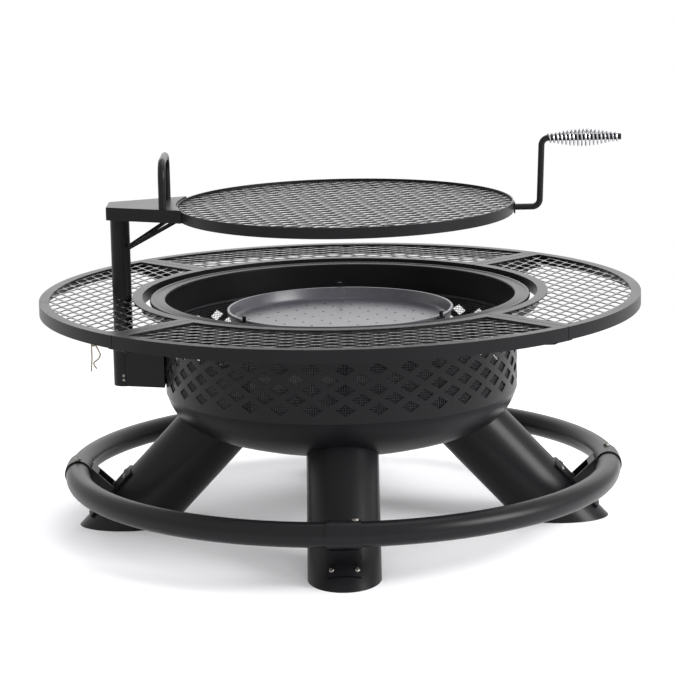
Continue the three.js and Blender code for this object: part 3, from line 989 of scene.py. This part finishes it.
@dataclass
class Legs:
    """Four slanted tubes that carry the bowl, and the foot rail that is bracketed to them."""

    bowl: Bowl
    radius: float = 70.0
    wall: float = 4.0
    length: float = 340.0
    foot_radius: float = 441.4
    tilt: float = math.radians(47)
    steps: int = 96
    rail_radius: float = 535.8
    rail_height: float = 110.9
    rail_steps: int = 60
    tube: float = 24.0
    tube_sides: int = 40
    sleeve_wall: float = 2.7
    sleeve_length: float = 63.0
    strut_width: float = 53.0
    strut_wall: float = 4.0
    saddle_width: float = 64.0
    saddle_sheet: float = 5.0
    saddle_span: Pair = (-32.0, 90.0)
    bracket_steps: tuple[int, int, int] = (8, 12, 16)
    screw_spots: Pair = (-18.8, 74.2)
    screw_spread: float = 23.8
    saddle_screw: Screw = Screw(head=5.2, height=3.4, shank=2.6, length=4.0)
    bolt_offset: float = 22.0
    bolt: Screw = Screw(head=7.0, height=4.5, shank=4.0, length=17.0)
    placing: Matrix = field(init=False)

    def __post_init__(self) -> None:
        """Works out how a solid made about Z is laid along the leg at azimuth 0."""
        lean = Matrix.Rotation(self.tilt - QUARTER, 4, "Y")
        self.placing = Matrix.Translation((self.foot_radius, 0, 0)) @ lean

    def leg(self) -> Solid:
        """Cuts a tube level at the ground and shapes it to the dish.

        Returns:
            A closed solid.
        """
        section = box_profile(self.radius - self.wall, self.radius, -2 * self.radius, self.length)
        tube = moved(turned_profile(section, self.steps), self.placing)
        side, reach = 2 * self.radius, 2 * self.foot_radius
        ground = block((0, -side, -2 * side), (reach, side, 0))
        tube = combined(tube, ground, Cut.CUT)
        return combined(tube, self.bowl.filled_base(GAP), Cut.CUT)

    def rail(self) -> Solid:
        """Bends one quarter of the foot rail.

        Returns:
            A closed solid.
        """
        section = circle_profile(self.tube, (self.rail_radius, self.rail_height), self.tube_sides)
        trim = GAP / self.rail_radius
        return turned_profile(section, self.rail_steps, QUARTER - 2 * trim, trim)

    def bracket(self) -> Solid:
        """Joins the sleeve over the rail's joint, its strut and the saddle on the leg.

        Returns:
            A closed solid.
        """
        bore = self.tube + GAP
        outside = bore + self.sleeve_wall
        centre = (self.rail_radius, self.rail_height)
        span = self.sleeve_length / self.rail_radius
        around, along, over = self.bracket_steps
        sleeve = turned_profile(
            circle_profile(outside, centre, self.tube_sides), around, span, -span / 2
        )
        through = turned_profile(
            circle_profile(bore, centre, self.tube_sides), along, 2 * span, -span
        )
        to_rail = Vector((self.rail_radius - self.foot_radius, 0, self.rail_height))
        normal = Vector((math.sin(self.tilt), 0, math.cos(self.tilt)))
        axis = Vector((-math.cos(self.tilt), 0, math.sin(self.tilt)))
        distance, level = to_rail.dot(normal), to_rail.dot(axis)
        inner = self.radius + GAP
        face = inner + self.saddle_sheet
        low, high = self.saddle_span
        half_angle = math.asin(self.saddle_width / 2 / face)
        section = box_profile(inner, face, low, high)
        saddle = turned_profile(section, over, 2 * half_angle, -half_angle)
        half, wall = self.strut_width / 2, self.strut_wall
        strut = block((inner, -half, level - half), (distance - outside / 2, half, level + half))
        hollow = block(
            (face, wall - half, level - half + wall),
            (distance - outside - wall, half - wall, level + 2 * half),
        )
        body = combined(saddle, combined(strut, hollow, Cut.CUT), Cut.JOIN)
        behind = rod(Vector((0, 0, 2 * low)), Vector((0, 0, 2 * high)), inner, self.steps)
        body = moved(combined(body, behind, Cut.CUT), self.placing)
        return combined(combined(body, sleeve, Cut.JOIN), through, Cut.CUT)

    def rail_bolt(self) -> Solid:
        """The bolt on top of a sleeve."""
        seat = self.rail_height + self.tube + GAP + self.sleeve_wall + GAP
        spot = Matrix.Translation((self.rail_radius, self.bolt_offset, seat))
        return moved(self.bolt.solid(), spot)

    def saddle_screws(self) -> Solid:
        """Places the four screws that hold a saddle to its leg.

        Returns:
            A mesh of closed screws.
        """
        face = self.radius + GAP + self.saddle_sheet
        swing = math.asin(self.screw_spread / face)
        out = Matrix.Translation((face, 0, 0)) @ Matrix.Rotation(QUARTER, 4, "Y")
        screws = []
        for spot in self.screw_spots:
            for sign in (-1, 1):
                around = Matrix.Rotation(sign * swing, 4, "Z")
                place = self.placing @ Matrix.Translation((0, 0, spot)) @ around @ out
                screws.append(moved(self.saddle_screw.solid(), place))
        return together(*screws)

    def build(self) -> None:
        """Builds and dresses the legs, the rail and their fixings."""
        fixed = (
            ("leg", "tube", self.leg(), POWDER_COAT, 0.6),
            ("rail_bracket", "welded", self.bracket(), POWDER_COAT, 0.8),
            ("rail_bolt", "button", self.rail_bolt(), ZINC_PLATE, 0.0),
        )
        screws, rail, stand = self.saddle_screws(), self.rail(), Body.STAND
        for side in Side:
            name, turn = side.name.lower(), side.value
            for kind, ending, solid, finish, soften in fixed:
                copied = turned_copy(solid, turn)
                stand_in(f"{kind}_{name}", ending, copied, finish, stand, soften)
            fitted(f"saddle_screws_{name}", turned_copy(screws, turn), ZINC_PLATE, stand)
        for corner in Corner:
            node = f"foot_rail_{corner.name.lower()}"
            stand_in(node, "tube", turned_copy(rail, corner.value), POWDER_COAT, stand, 0.8)
        for used in (screws, rail, *(row[2] for row in fixed)):
            used.free()
            used.free()


# ---- Expanded metal ----


@dataclass(frozen=True)
class ExpandedMetal:
    """Slit and stretched sheet: staggered diamonds between tilted strands."""

    long_way: float
    short_way: float
    strand: float = 5.6
    sheet: float = 1.5
    tilt: float = 0.08
    corner: float = 1.3
    around: int = 16
    end_share: float = 1.25

    def tile(self) -> Solid:
        """Draws one diamond opening with half of each strand round it.

        Returns:
            An open mesh.
        """
        bm = bmesh.new()
        bmesh.ops.create_circle(bm, segments=self.around, radius=1.0, cap_ends=False)
        outer = list(bm.verts)
        grown = bmesh.ops.extrude_edge_only(bm, edges=bm.edges)["geom"]
        inner = only(bmesh.types.BMVert, grown)
        half_long, half_short = self.long_way / 2, self.short_way / 2
        slope = math.hypot(1, half_short / half_long)
        hole_short = half_short - self.strand / 2 * slope
        hole_long = half_long - self.strand * self.end_share
        for verts, power, reach in (
            (outer, 1.0, (half_long, half_short)),
            (inner, self.corner, (hole_long, hole_short)),
        ):
            for v in verts:
                size = (abs(v.co.x) ** power + abs(v.co.y) ** power) ** (1 / power)
                v.co = Vector((v.co.x / size * reach[0], v.co.y / size * reach[1], 0))
        for v in inner:
            v.co.z = self.tilt * v.co.y / hole_short * self.sheet
        return bm

    def sheet_of(self, size: Pair) -> Solid:
        """A flat sheet about the origin, its long way along X.

        Args:
            size: The length and width to cover.

        Returns:
            A closed solid whose lowest level is a little under 0.
        """
        bm = self.tile()
        first = [*bm.verts, *bm.edges, *bm.faces]
        columns = math.ceil(size[0] / self.long_way) + 1
        rows = math.ceil(size[1] / self.short_way) + 1
        start = Vector(((0.5 - columns) * self.long_way, (0.5 - rows) * self.short_way, 0)) / 2
        for row in range(rows):
            for column in range(columns):
                for half in (0, 0.5):
                    step = Vector(
                        ((column + half) * self.long_way, (row + half) * self.short_way, 0)
                    )
                    copied = bmesh.ops.duplicate(bm, geom=first)["geom"]
                    verts = only(bmesh.types.BMVert, copied)
                    bmesh.ops.translate(bm, verts=verts, vec=start + step)
        bmesh.ops.delete(bm, geom=first, context="VERTS")
        bmesh.ops.remove_doubles(bm, verts=bm.verts, dist=10 * MERGE)
        grown = bmesh.ops.extrude_face_region(bm, geom=bm.faces[:], use_keep_orig=True)["geom"]
        raised = only(bmesh.types.BMVert, grown)
        bmesh.ops.translate(bm, verts=raised, vec=(0, 0, self.sheet))
        bmesh.ops.recalc_face_normals(bm, faces=bm.faces)
        return bm

    def clipped(self, node: str, angle: float) -> Solid:
        """The sheet cut to the outline of a plain CAD plate, level with its top.

        Args:
            node: The CAD plate that it stands for.
            angle: The azimuth of the long way.

        Returns:
            A closed solid.
        """
        low, high = (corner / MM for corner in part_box(node))
        middle, size = (low + high) / 2, high - low
        reach = math.hypot(size.x, size.y)
        along = abs(math.cos(angle)) > abs(math.sin(angle))
        wanted = (size.x, size.y) if along else (size.y, size.x)
        spare = reach * abs(math.sin(2 * angle))
        sheet = self.sheet_of((wanted[0] + spare / 2, wanted[1] + spare / 2))
        bottom = high.z - self.sheet * (1 + self.tilt)
        place = Matrix.Translation((middle.x, middle.y, bottom))
        moved(sheet, place @ Matrix.Rotation(angle, 4, "Z"))
        outline = node_copy(node)
        centre = Matrix.Translation(Vector((0, 0, middle.z)))
        moved(outline, centre @ Matrix.Diagonal((1, 1, 8, 1)) @ centre.inverted())
        return combined(sheet, outline, Cut.KEEP)


# ---- Table ----


@dataclass
class Table:
    """The ring table: four folded frames, their expanded metal and the arms below."""

    outer: float = 600.0
    inner: float = 395.0
    top: float = 471.0
    skirt: float = 25.0
    sheet: float = 2.5
    strip: float = 20.0
    side_strip: float = 21.0
    seam: float = 1.5
    steps: int = 120
    overlap: float = math.radians(4)
    metal: ExpandedMetal = ExpandedMetal(57.5, 28.6)

    def wedge(self, inset: float, low: float, high: float) -> Solid:
        """The quarter of the plan about +X, drawn in from its two seams."""
        apex, reach = inset * math.sqrt(2), 2 * self.outer
        return prism([(apex, 0), (apex + reach, -reach), (apex + reach, reach)], low, high)

    def sector(self, inset: float, side_inset: float, low: float, high: float) -> Solid:
        """Cuts a quarter out of the ring.

        Args:
            inset: How far it is drawn in from its arcs.
            side_inset: How far it is drawn in from its seams.
            low: The height of its bottom.
            high: The height of its top.

        Returns:
            A closed solid.
        """
        section = box_profile(self.inner + inset, self.outer - inset, low, high)
        sweep = QUARTER + 2 * self.overlap
        ring = turned_profile(section, self.steps, sweep, -sweep / 2)
        wedge = self.wedge(self.seam / 2 + side_inset, low - SPARE, high + SPARE)
        return combined(ring, wedge, Cut.KEEP)

    def frame(self) -> Solid:
        """Folds the frame at the right: strips on top and a skirt all round.

        Returns:
            A closed solid.
        """
        bottom = self.top - self.skirt
        below, above = bottom - 5 * SPARE, self.top + 5 * SPARE
        slab = self.sector(0, 0, bottom, self.top)
        pocket = self.sector(self.sheet, self.sheet, below, self.top - self.sheet)
        window = self.sector(self.strip, self.side_strip, below, above)
        return combined(combined(slab, pocket, Cut.CUT), window, Cut.CUT)

    def build(self) -> None:
        """Builds and dresses the table."""
        frame, stand = self.frame(), Body.STAND
        for side in Side:
            name, turn = side.name.lower(), side.value
            copied = turned_copy(frame, turn)
            stand_in(f"table_frame_{name}", "folded", copied, POWDER_COAT, stand, 0.9)
            node = f"table_mesh_{name}"
            sheet = self.metal.clipped(node, (turn + 1) * QUARTER)
            stand_in(node, "expanded", sheet, STRAND_COAT, stand)
        frame.free()
        for corner in Corner:
            coated_copy(f"table_arm_{corner.name.lower()}", "welded", stand, 0.8)


# ---- Post and its sleeve ----


@dataclass
class Post:
    """The post that carries the grill, its sleeve on the bowl, and the pin that sets its height."""

    x: float = -436.0
    radius: float = 19.2
    wall: float = 3.0
    bottom: float = 300.0
    top: float = 650.7
    holes: int = 5
    hole_pitch: float = 30.0
    sleeve_radii: Pair = (20.0, 22.2)
    sleeve_span: Pair = (288.0, 384.0)
    screw_heights: Pair = (301.5, 310.5)
    screw_sides: int = 20
    # Radius and height of each corner of a sleeve screw, its head's seat at 0.
    screw_shape: Profile = (
        (0, -2.5), (2, -2.5), (2, 0), (3.6, 0), (3.5, 0.9), (2.6, 1.8), (1.2, 2.2), (0, 2.2),
    )
    washer_span: Pair = (384.3, 387.3)
    washer_radius: float = 27.0
    pin_height: float = 392.6
    pin_radius: float = 5.0
    pin_span: Pair = (-67.0, 27.0)
    pin_sides: int = 32
    # Corners of the pin's ends, from its radius and its end.
    pin_foot: Profile = ((-1.2, 0), (0, 1.2))
    pin_tip: Profile = ((0, -4), (-1, -1.6), (-2.5, 0))
    eye: float = -61.0
    eye_radius: float = 3.0
    eye_sides: int = 16
    ring_radius: float = 11.0
    ring_wire: float = 1.3
    ring_centre: float = 382.0
    ring_steps: int = 48
    wire_sides: int = 12
    clip_wire: float = 1.4
    clip_length: float = 56.0
    clip_eye: float = 4.2
    clip_eye_steps: int = 36
    clip_spread: float = 2.2
    # The waved leg of the clip: how far out, and at what share of its length.
    clip_wave: Profile = (
        (4.2, 0.08), (10.2, 0.3), (12.2, 0.42), (8.2, 0.56), (0, 0.68), (-1, 0.76), (4.2, 0.92),
    )
    clip_wave_steps: int = 6
    steps: int = 64

    def at_post(self, bm: Solid) -> Solid:
        """Moves a solid made about Z to the post's axis."""
        return moved(bm, Matrix.Translation((self.x, 0, 0)))

    def across(self, height: float, radius: float, sides: int = 20) -> Solid:
        """A drill that runs along X through the post's axis."""
        reach = 2 * self.radius
        start, end = Vector((self.x - reach, 0, height)), Vector((self.x + reach, 0, height))
        return rod(start, end, radius, sides)

    def post(self) -> Solid:
        """Makes the post's tube with its pin holes.

        Returns:
            A closed solid.
        """
        section = box_profile(self.radius - self.wall, self.radius, self.bottom, self.top)
        tube = self.at_post(turned_profile(section, self.steps))
        heights = [self.pin_height + i * self.hole_pitch for i in range(self.holes)]
        drills = [self.across(height, self.pin_radius + GAP) for height in heights]
        return combined(tube, together(*drills), Cut.CUT)

    def sleeve_screw(self, height: float) -> Solid:
        """A small round-headed screw in the front of the sleeve."""
        spot = Matrix.Translation((self.x, -self.sleeve_radii[1] - GAP, height))
        made = turned_profile(self.screw_shape, self.screw_sides)
        return moved(made, spot @ Matrix.Rotation(QUARTER, 4, "X"))

    def pin(self) -> Solid:
        """Turns the height pin with tapered ends, and drills the eye for its ring.

        Returns:
            A closed solid.
        """
        low, high = self.pin_span
        radius, level = self.pin_radius, self.pin_height
        section = joined_profile(
            ((0, low), [(0, 0)]),
            ((radius, low), self.pin_foot),
            ((radius, high), self.pin_tip),
            ((0, high), [(0, 0)]),
        )
        lying = Matrix.Translation((self.x, 0, level)) @ Matrix.Rotation(QUARTER, 4, "Y")
        made = moved(turned_profile(section, self.pin_sides), lying)
        start, end = (Vector((self.x + self.eye, side * radius, level)) for side in (-2, 2))
        return combined(made, rod(start, end, self.eye_radius, self.eye_sides), Cut.CUT)

    def pin_ring(self) -> Solid:
        """The round wire ring that hangs in the pin's eye."""
        section = circle_profile(self.ring_wire, (self.ring_radius, 0), self.wire_sides)
        place = Matrix.Translation((self.x + self.eye, 0, self.ring_centre))
        made = turned_profile(section, self.ring_steps)
        return moved(made, place @ Matrix.Rotation(QUARTER, 4, "Y"))

    def hairpin(self) -> Solid:
        """Bends the R-shaped clip: a straight leg, one and a half turns of eye and a waved leg.

        Returns:
            A closed solid.
        """
        eye, length, spread = self.clip_eye, self.clip_length, self.clip_spread
        x = self.x + self.eye
        eye_z = self.ring_centre - self.ring_radius - self.ring_wire - self.clip_wire - GAP + eye
        points = [Vector((x - eye - spread, -spread, eye_z - length))]
        points += [Vector((x - eye, -spread, eye_z - length / 2))]
        steps = self.clip_eye_steps
        for i in range(steps + 1):
            angle = math.pi - 3 * math.pi * i / steps
            y = -spread + 2 * spread * i / steps
            points.append(Vector((x + eye * math.cos(angle), y, eye_z + eye * math.sin(angle))))
        for out, share in smooth_profile(self.clip_wave, self.clip_wave_steps)[1:]:
            points.append(Vector((x + out, spread, eye_z - share * length)))
        return swept(points, self.clip_wire, self.wire_sides)

    def build(self) -> None:
        """Builds and dresses the post and all that hangs on it."""
        inner, outer = self.sleeve_radii
        stand, grill, clip = Body.STAND, Body.GRILL, Body.CLIP
        section = box_profile(inner, outer, *self.sleeve_span)
        sleeve = self.at_post(turned_profile(section, self.steps))
        stand_in("post_sleeve", "tube", sleeve, POWDER_COAT, stand, 0.5)
        coated_copy("sleeve_bracket", "folded", stand, 0.9)
        for number, height in enumerate(self.screw_heights, 1):
            screw = self.sleeve_screw(height)
            stand_in(f"sleeve_screw_{number}", "round", screw, ZINC_PLATE, stand)
        section = box_profile(inner, self.washer_radius, *self.washer_span)
        washer = self.at_post(turned_profile(section, self.steps))
        stand_in("thrust_washer", "flat", washer, ZINC_PLATE, Body.WASHER, 0.4)
        stand_in("post", "tube", self.post(), POWDER_COAT, grill, 0.4)
        stand_in("height_pin", "turned", self.pin(), ZINC_PLATE, Body.PIN, 0.3)
        stand_in("pin_ring", "wire", self.pin_ring(), YELLOW_ZINC, clip)
        stand_in("hairpin_clip", "wire", self.hairpin(), YELLOW_ZINC, clip)


# ---- Grill ----


@dataclass
class Grill:
    """The swinging grate, its carrier, its lifting bar and the cranked handle."""

    x: float = 13.3
    radius: float = 335.4
    sheet: float = 3.0
    top: float = 651.0
    height: float = 22.0
    steps: int = 240
    carrier_top: float = 654.0
    carrier_skirt: float = 26.0
    post_x: float = -436.0
    post_radius: float = 19.2
    post_sides: int = 64
    brace_radius: float = 4.0
    brace_sides: int = 20
    brace_post: Pair = (6.0, 558.0)
    brace_end: float = 60.0
    brace_over: float = 1.2
    bar_x: float = -345.0
    bar_radius: float = 7.5
    bar_sides: int = 28
    bar_half_span: float = 75.0
    bar_height: float = 97.0
    bar_bend: float = 32.0
    crank_radius: float = 6.2
    crank_z: float = 634.0
    elbow_x: float = 401.0
    grip_x: float = 406.0
    grip_z: float = 771.0
    grip_end: float = 563.0
    crank_bend: float = 15.0
    spring_span: Pair = (418.0, 558.0)
    spring_wire: float = 2.0
    spring_sides: int = 10
    spring_turns: int = 18
    spring_steps: int = 28
    spring_bulge: float = 8.5
    spring_fullness: float = 1.5
    metal: ExpandedMetal = ExpandedMetal(50.0, 28.0, strand=6.4, sheet=2.4, tilt=0.04)
    metal_turn: float = math.radians(13)

    def ring(self) -> Solid:
        """The flat bar rolled round the grate."""
        bottom = self.top - self.height
        section = box_profile(self.radius - self.sheet, self.radius, bottom, self.top)
        return moved(turned_profile(section, self.steps), Matrix.Translation((self.x, 0, 0)))

    def brace(self, side: int) -> Solid:
        """Cuts a rod to run from the post up to the carrier's edge.

        Args:
            side: -1 for the front one and 1 for the back one.

        Returns:
            A closed solid.
        """
        start_y, start_z = self.brace_post
        edge = math.sqrt((self.radius + GAP) ** 2 - self.brace_end**2)
        end_z = self.carrier_top - self.carrier_skirt
        start = Vector((self.post_x, side * start_y, start_z))
        end = Vector((self.x - edge - self.sheet / 2, side * self.brace_end, end_z))
        end = start + (end - start) * self.brace_over
        bar = rod(start, end, self.brace_radius, self.brace_sides)
        foot, head = Vector((self.post_x, 0, 0)), Vector((self.post_x, 0, self.top))
        bar = combined(bar, rod(foot, head, self.post_radius + GAP, self.post_sides), Cut.CUT)
        reach = self.radius
        above = block((self.post_x, -reach, end_z - GAP), (self.x, reach, end_z + reach))
        return combined(bar, above, Cut.CUT)

    def lift_bar(self) -> Solid:
        """Bends the bar that the grate is lifted by.

        Returns:
            A closed solid.
        """
        low = self.carrier_top + GAP
        high = low + self.bar_height - self.bar_radius
        half = self.bar_half_span
        ends = ((-half, low), (-half, high), (half, high), (half, low))
        corners = [Vector((self.bar_x, y, z)) for y, z in ends]
        return swept(bent_path(corners, self.bar_bend), self.bar_radius, self.bar_sides)

    def crank(self) -> Solid:
        """Bends the cranked rod from the ring to the grip.

        Returns:
            A closed solid.
        """
        start = self.x + self.radius + GAP + self.sheet + GAP
        low, high = self.crank_z, self.grip_z
        ends = ((start, low), (self.elbow_x, low), (self.grip_x, high), (self.grip_end, high))
        corners = [Vector((x, 0, z)) for x, z in ends]
        return swept(bent_path(corners, self.crank_bend), self.crank_radius, self.bar_sides)

    def spring(self) -> Solid:
        """Coils the grip that stays cool to the hand, fuller at its middle.

        Returns:
            A closed solid.
        """
        start, end = self.spring_span
        seat = self.crank_radius + GAP + self.spring_wire
        steps = self.spring_turns * self.spring_steps
        points = []
        for i in range(steps + 1):
            share = i / steps
            bulge = math.sin(math.pi * share) ** self.spring_fullness
            radius = seat + self.spring_bulge * bulge
            angle = TAU * self.spring_turns * share
            y, z = radius * math.cos(angle), self.grip_z + radius * math.sin(angle)
            points.append(Vector((start + (end - start) * share, y, z)))
        return swept(points, self.spring_wire, self.spring_sides)

    def build(self) -> None:
        """Builds and dresses the grate and its carrier."""
        grill = Body.GRILL
        coated_copy("grill_carrier", "folded", grill, 1.2)
        for name, side in (("front", -1), ("back", 1)):
            stand_in(f"brace_rod_{name}", "round", self.brace(side), POWDER_COAT, grill)
        stand_in("lift_handle", "bent", self.lift_bar(), POWDER_COAT, grill)
        stand_in("grill_ring", "rolled", self.ring(), POWDER_COAT, grill, 0.8)
        sheet = self.metal.clipped("grill_mesh", self.metal_turn)
        stand_in("grill_mesh", "expanded", sheet, STRAND_COAT, grill)
        coated_copy("handle_plate", "flat", grill, 0.8)
        stand_in("crank_handle", "bent", self.crank(), POWDER_COAT, grill)
        stand_in("spring_grip", "coil", self.spring(), SPRING_WIRE, grill)


# ---- Studio ----


@dataclass
class Studio:
    """A pale floor, soft lamps, a white background and the camera."""

    floor_radius: float = 12.0
    floor_sides: int = 96
    fade: Pair = (0.8, 2.4)
    camera_place: tuple[float, float, float] = (0.0156, -5.517, 1.4596)
    pitch: float = 0.194
    yaw: float = 0.004
    roll: float = 0.02
    lens_mm: float = 149.2
    sensor_mm: float = 36.0
    far: float = 100.0
    sky: float = 1.3
    lamp_aim: tuple[float, float, float] = (0.0, 0.0, 0.4)

    def seen_directly(self, tree: Tree) -> Socket:
        """Tells what the camera sees straight, in metal or through glass.

        Args:
            tree: The node tree.

        Returns:
            A factor of 1 there and 0 elsewhere.
        """
        path = add_node(tree, "ShaderNodeLightPath").outputs
        either = sum_of(tree, "MAXIMUM", path["Is Camera Ray"], path["Is Glossy Ray"])
        return sum_of(tree, "MAXIMUM", either, path["Is Transmission Ray"])

    def floor(self) -> None:
        """Lays the floor, which fades to the white background away from the object."""
        bm = bmesh.new()
        bmesh.ops.create_circle(
            bm, segments=self.floor_sides, radius=self.floor_radius, cap_ends=True
        )
        floor = mesh_object("floor", bm)
        made = bpy.data.materials.new("pale_studio_floor")
        tree = empty_tree(made)
        place = add_node(tree, "ShaderNodeTexCoord").outputs["Object"]
        away = add_node(tree, "ShaderNodeVectorMath", {0: place}, operation="LENGTH").outputs[1]
        fade = add_node(
            tree,
            "ShaderNodeMapRange",
            {"Value": away, "From Min": self.fade[0], "From Max": self.fade[1]},
            interpolation_type="SMOOTHSTEP",
        ).outputs["Result"]
        factor = sum_of(tree, "MULTIPLY", fade, self.seen_directly(tree))
        pale = {"Color": linear("#f4f3f5")}
        matt = add_node(tree, "ShaderNodeBsdfDiffuse", pale).outputs["BSDF"]
        glow = add_node(tree, "ShaderNodeEmission", {"Strength": 1.0}).outputs["Emission"]
        both = {0: factor, 1: matt, 2: glow}
        mixed = add_node(tree, "ShaderNodeMixShader", both).outputs["Shader"]
        add_node(tree, "ShaderNodeOutputMaterial", {"Surface": mixed})
        floor.data.materials.append(made)

    def world(self) -> None:
        """Lights the scene evenly from all round, with a white background."""
        world = bpy.data.worlds.new("studio")
        tree = empty_tree(world)
        light, white = (
            add_node(
                tree, "ShaderNodeBackground", {"Color": linear("#ffffff"), "Strength": strength}
            ).outputs["Background"]
            for strength in (self.sky, 1.0)
        )
        both = {0: self.seen_directly(tree), 1: light, 2: white}
        mixed = add_node(tree, "ShaderNodeMixShader", both).outputs["Shader"]
        add_node(tree, "ShaderNodeOutputWorld", {"Surface": mixed})
        bpy.context.scene.world = world

    def lamp(self, name: str, place: Vector, size: Pair, power: float) -> None:
        """Hangs a soft lamp out of the camera's sight, turned to the bowl.

        Args:
            name: The lamp's name.
            place: Its centre.
            size: Its width and height.
            power: Its power in watts.
        """
        data = bpy.data.lights.new(name, "AREA")
        data.shape, data.energy = "RECTANGLE", power
        data.size, data.size_y = size
        lamp = scene_object(name, data)
        lamp.visible_camera = False
        lamp.rotation_mode = "QUATERNION"
        lamp.location = place
        lamp.rotation_quaternion = (Vector(self.lamp_aim) - place).to_track_quat("-Z", "Y")

    def camera(self) -> None:
        """The camera at its place, aimed by its pitch, yaw and roll."""
        data = bpy.data.cameras.new("camera")
        data.lens, data.sensor_width, data.clip_end = self.lens_mm, self.sensor_mm, self.far
        camera = scene_object("camera", data)
        aim = (
            Matrix.Rotation(self.yaw, 4, "Z")
            @ Matrix.Rotation(QUARTER - self.pitch, 4, "X")
            @ Matrix.Rotation(-self.roll, 4, "Z")
        )
        camera.matrix_world = Matrix.Translation(self.camera_place) @ aim
        bpy.context.scene.camera = camera

    def build(self) -> None:
        """Sets the scene round the object."""
        bpy.context.scene.view_settings.view_transform = "Standard"
        self.floor()
        self.world()
        self.lamp("overhead_lamp", Vector((0.8, 0.9, 3.6)), (2.6, 2.6), 50)
        self.lamp("side_lamp", Vector((3.2, -1.6, 1.8)), (1.8, 1.8), 150)
        self.lamp("back_lamp", Vector((0.3, 3.4, 1.75)), (5.0, 2.2), 30)
        self.camera()


def main() -> None:
    """Builds the looks round the frame."""
    logging.basicConfig(level=logging.INFO, format="%(name)s %(message)s")
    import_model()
    Studio().build()
    bowl = Bowl()
    for assembly in (bowl, CharcoalPan(), Legs(bowl), Table(), Post(), Grill()):
        assembly.build()
        LOG.info("%s built", type(assembly).__name__)


if __name__ == "__main__":
    main()
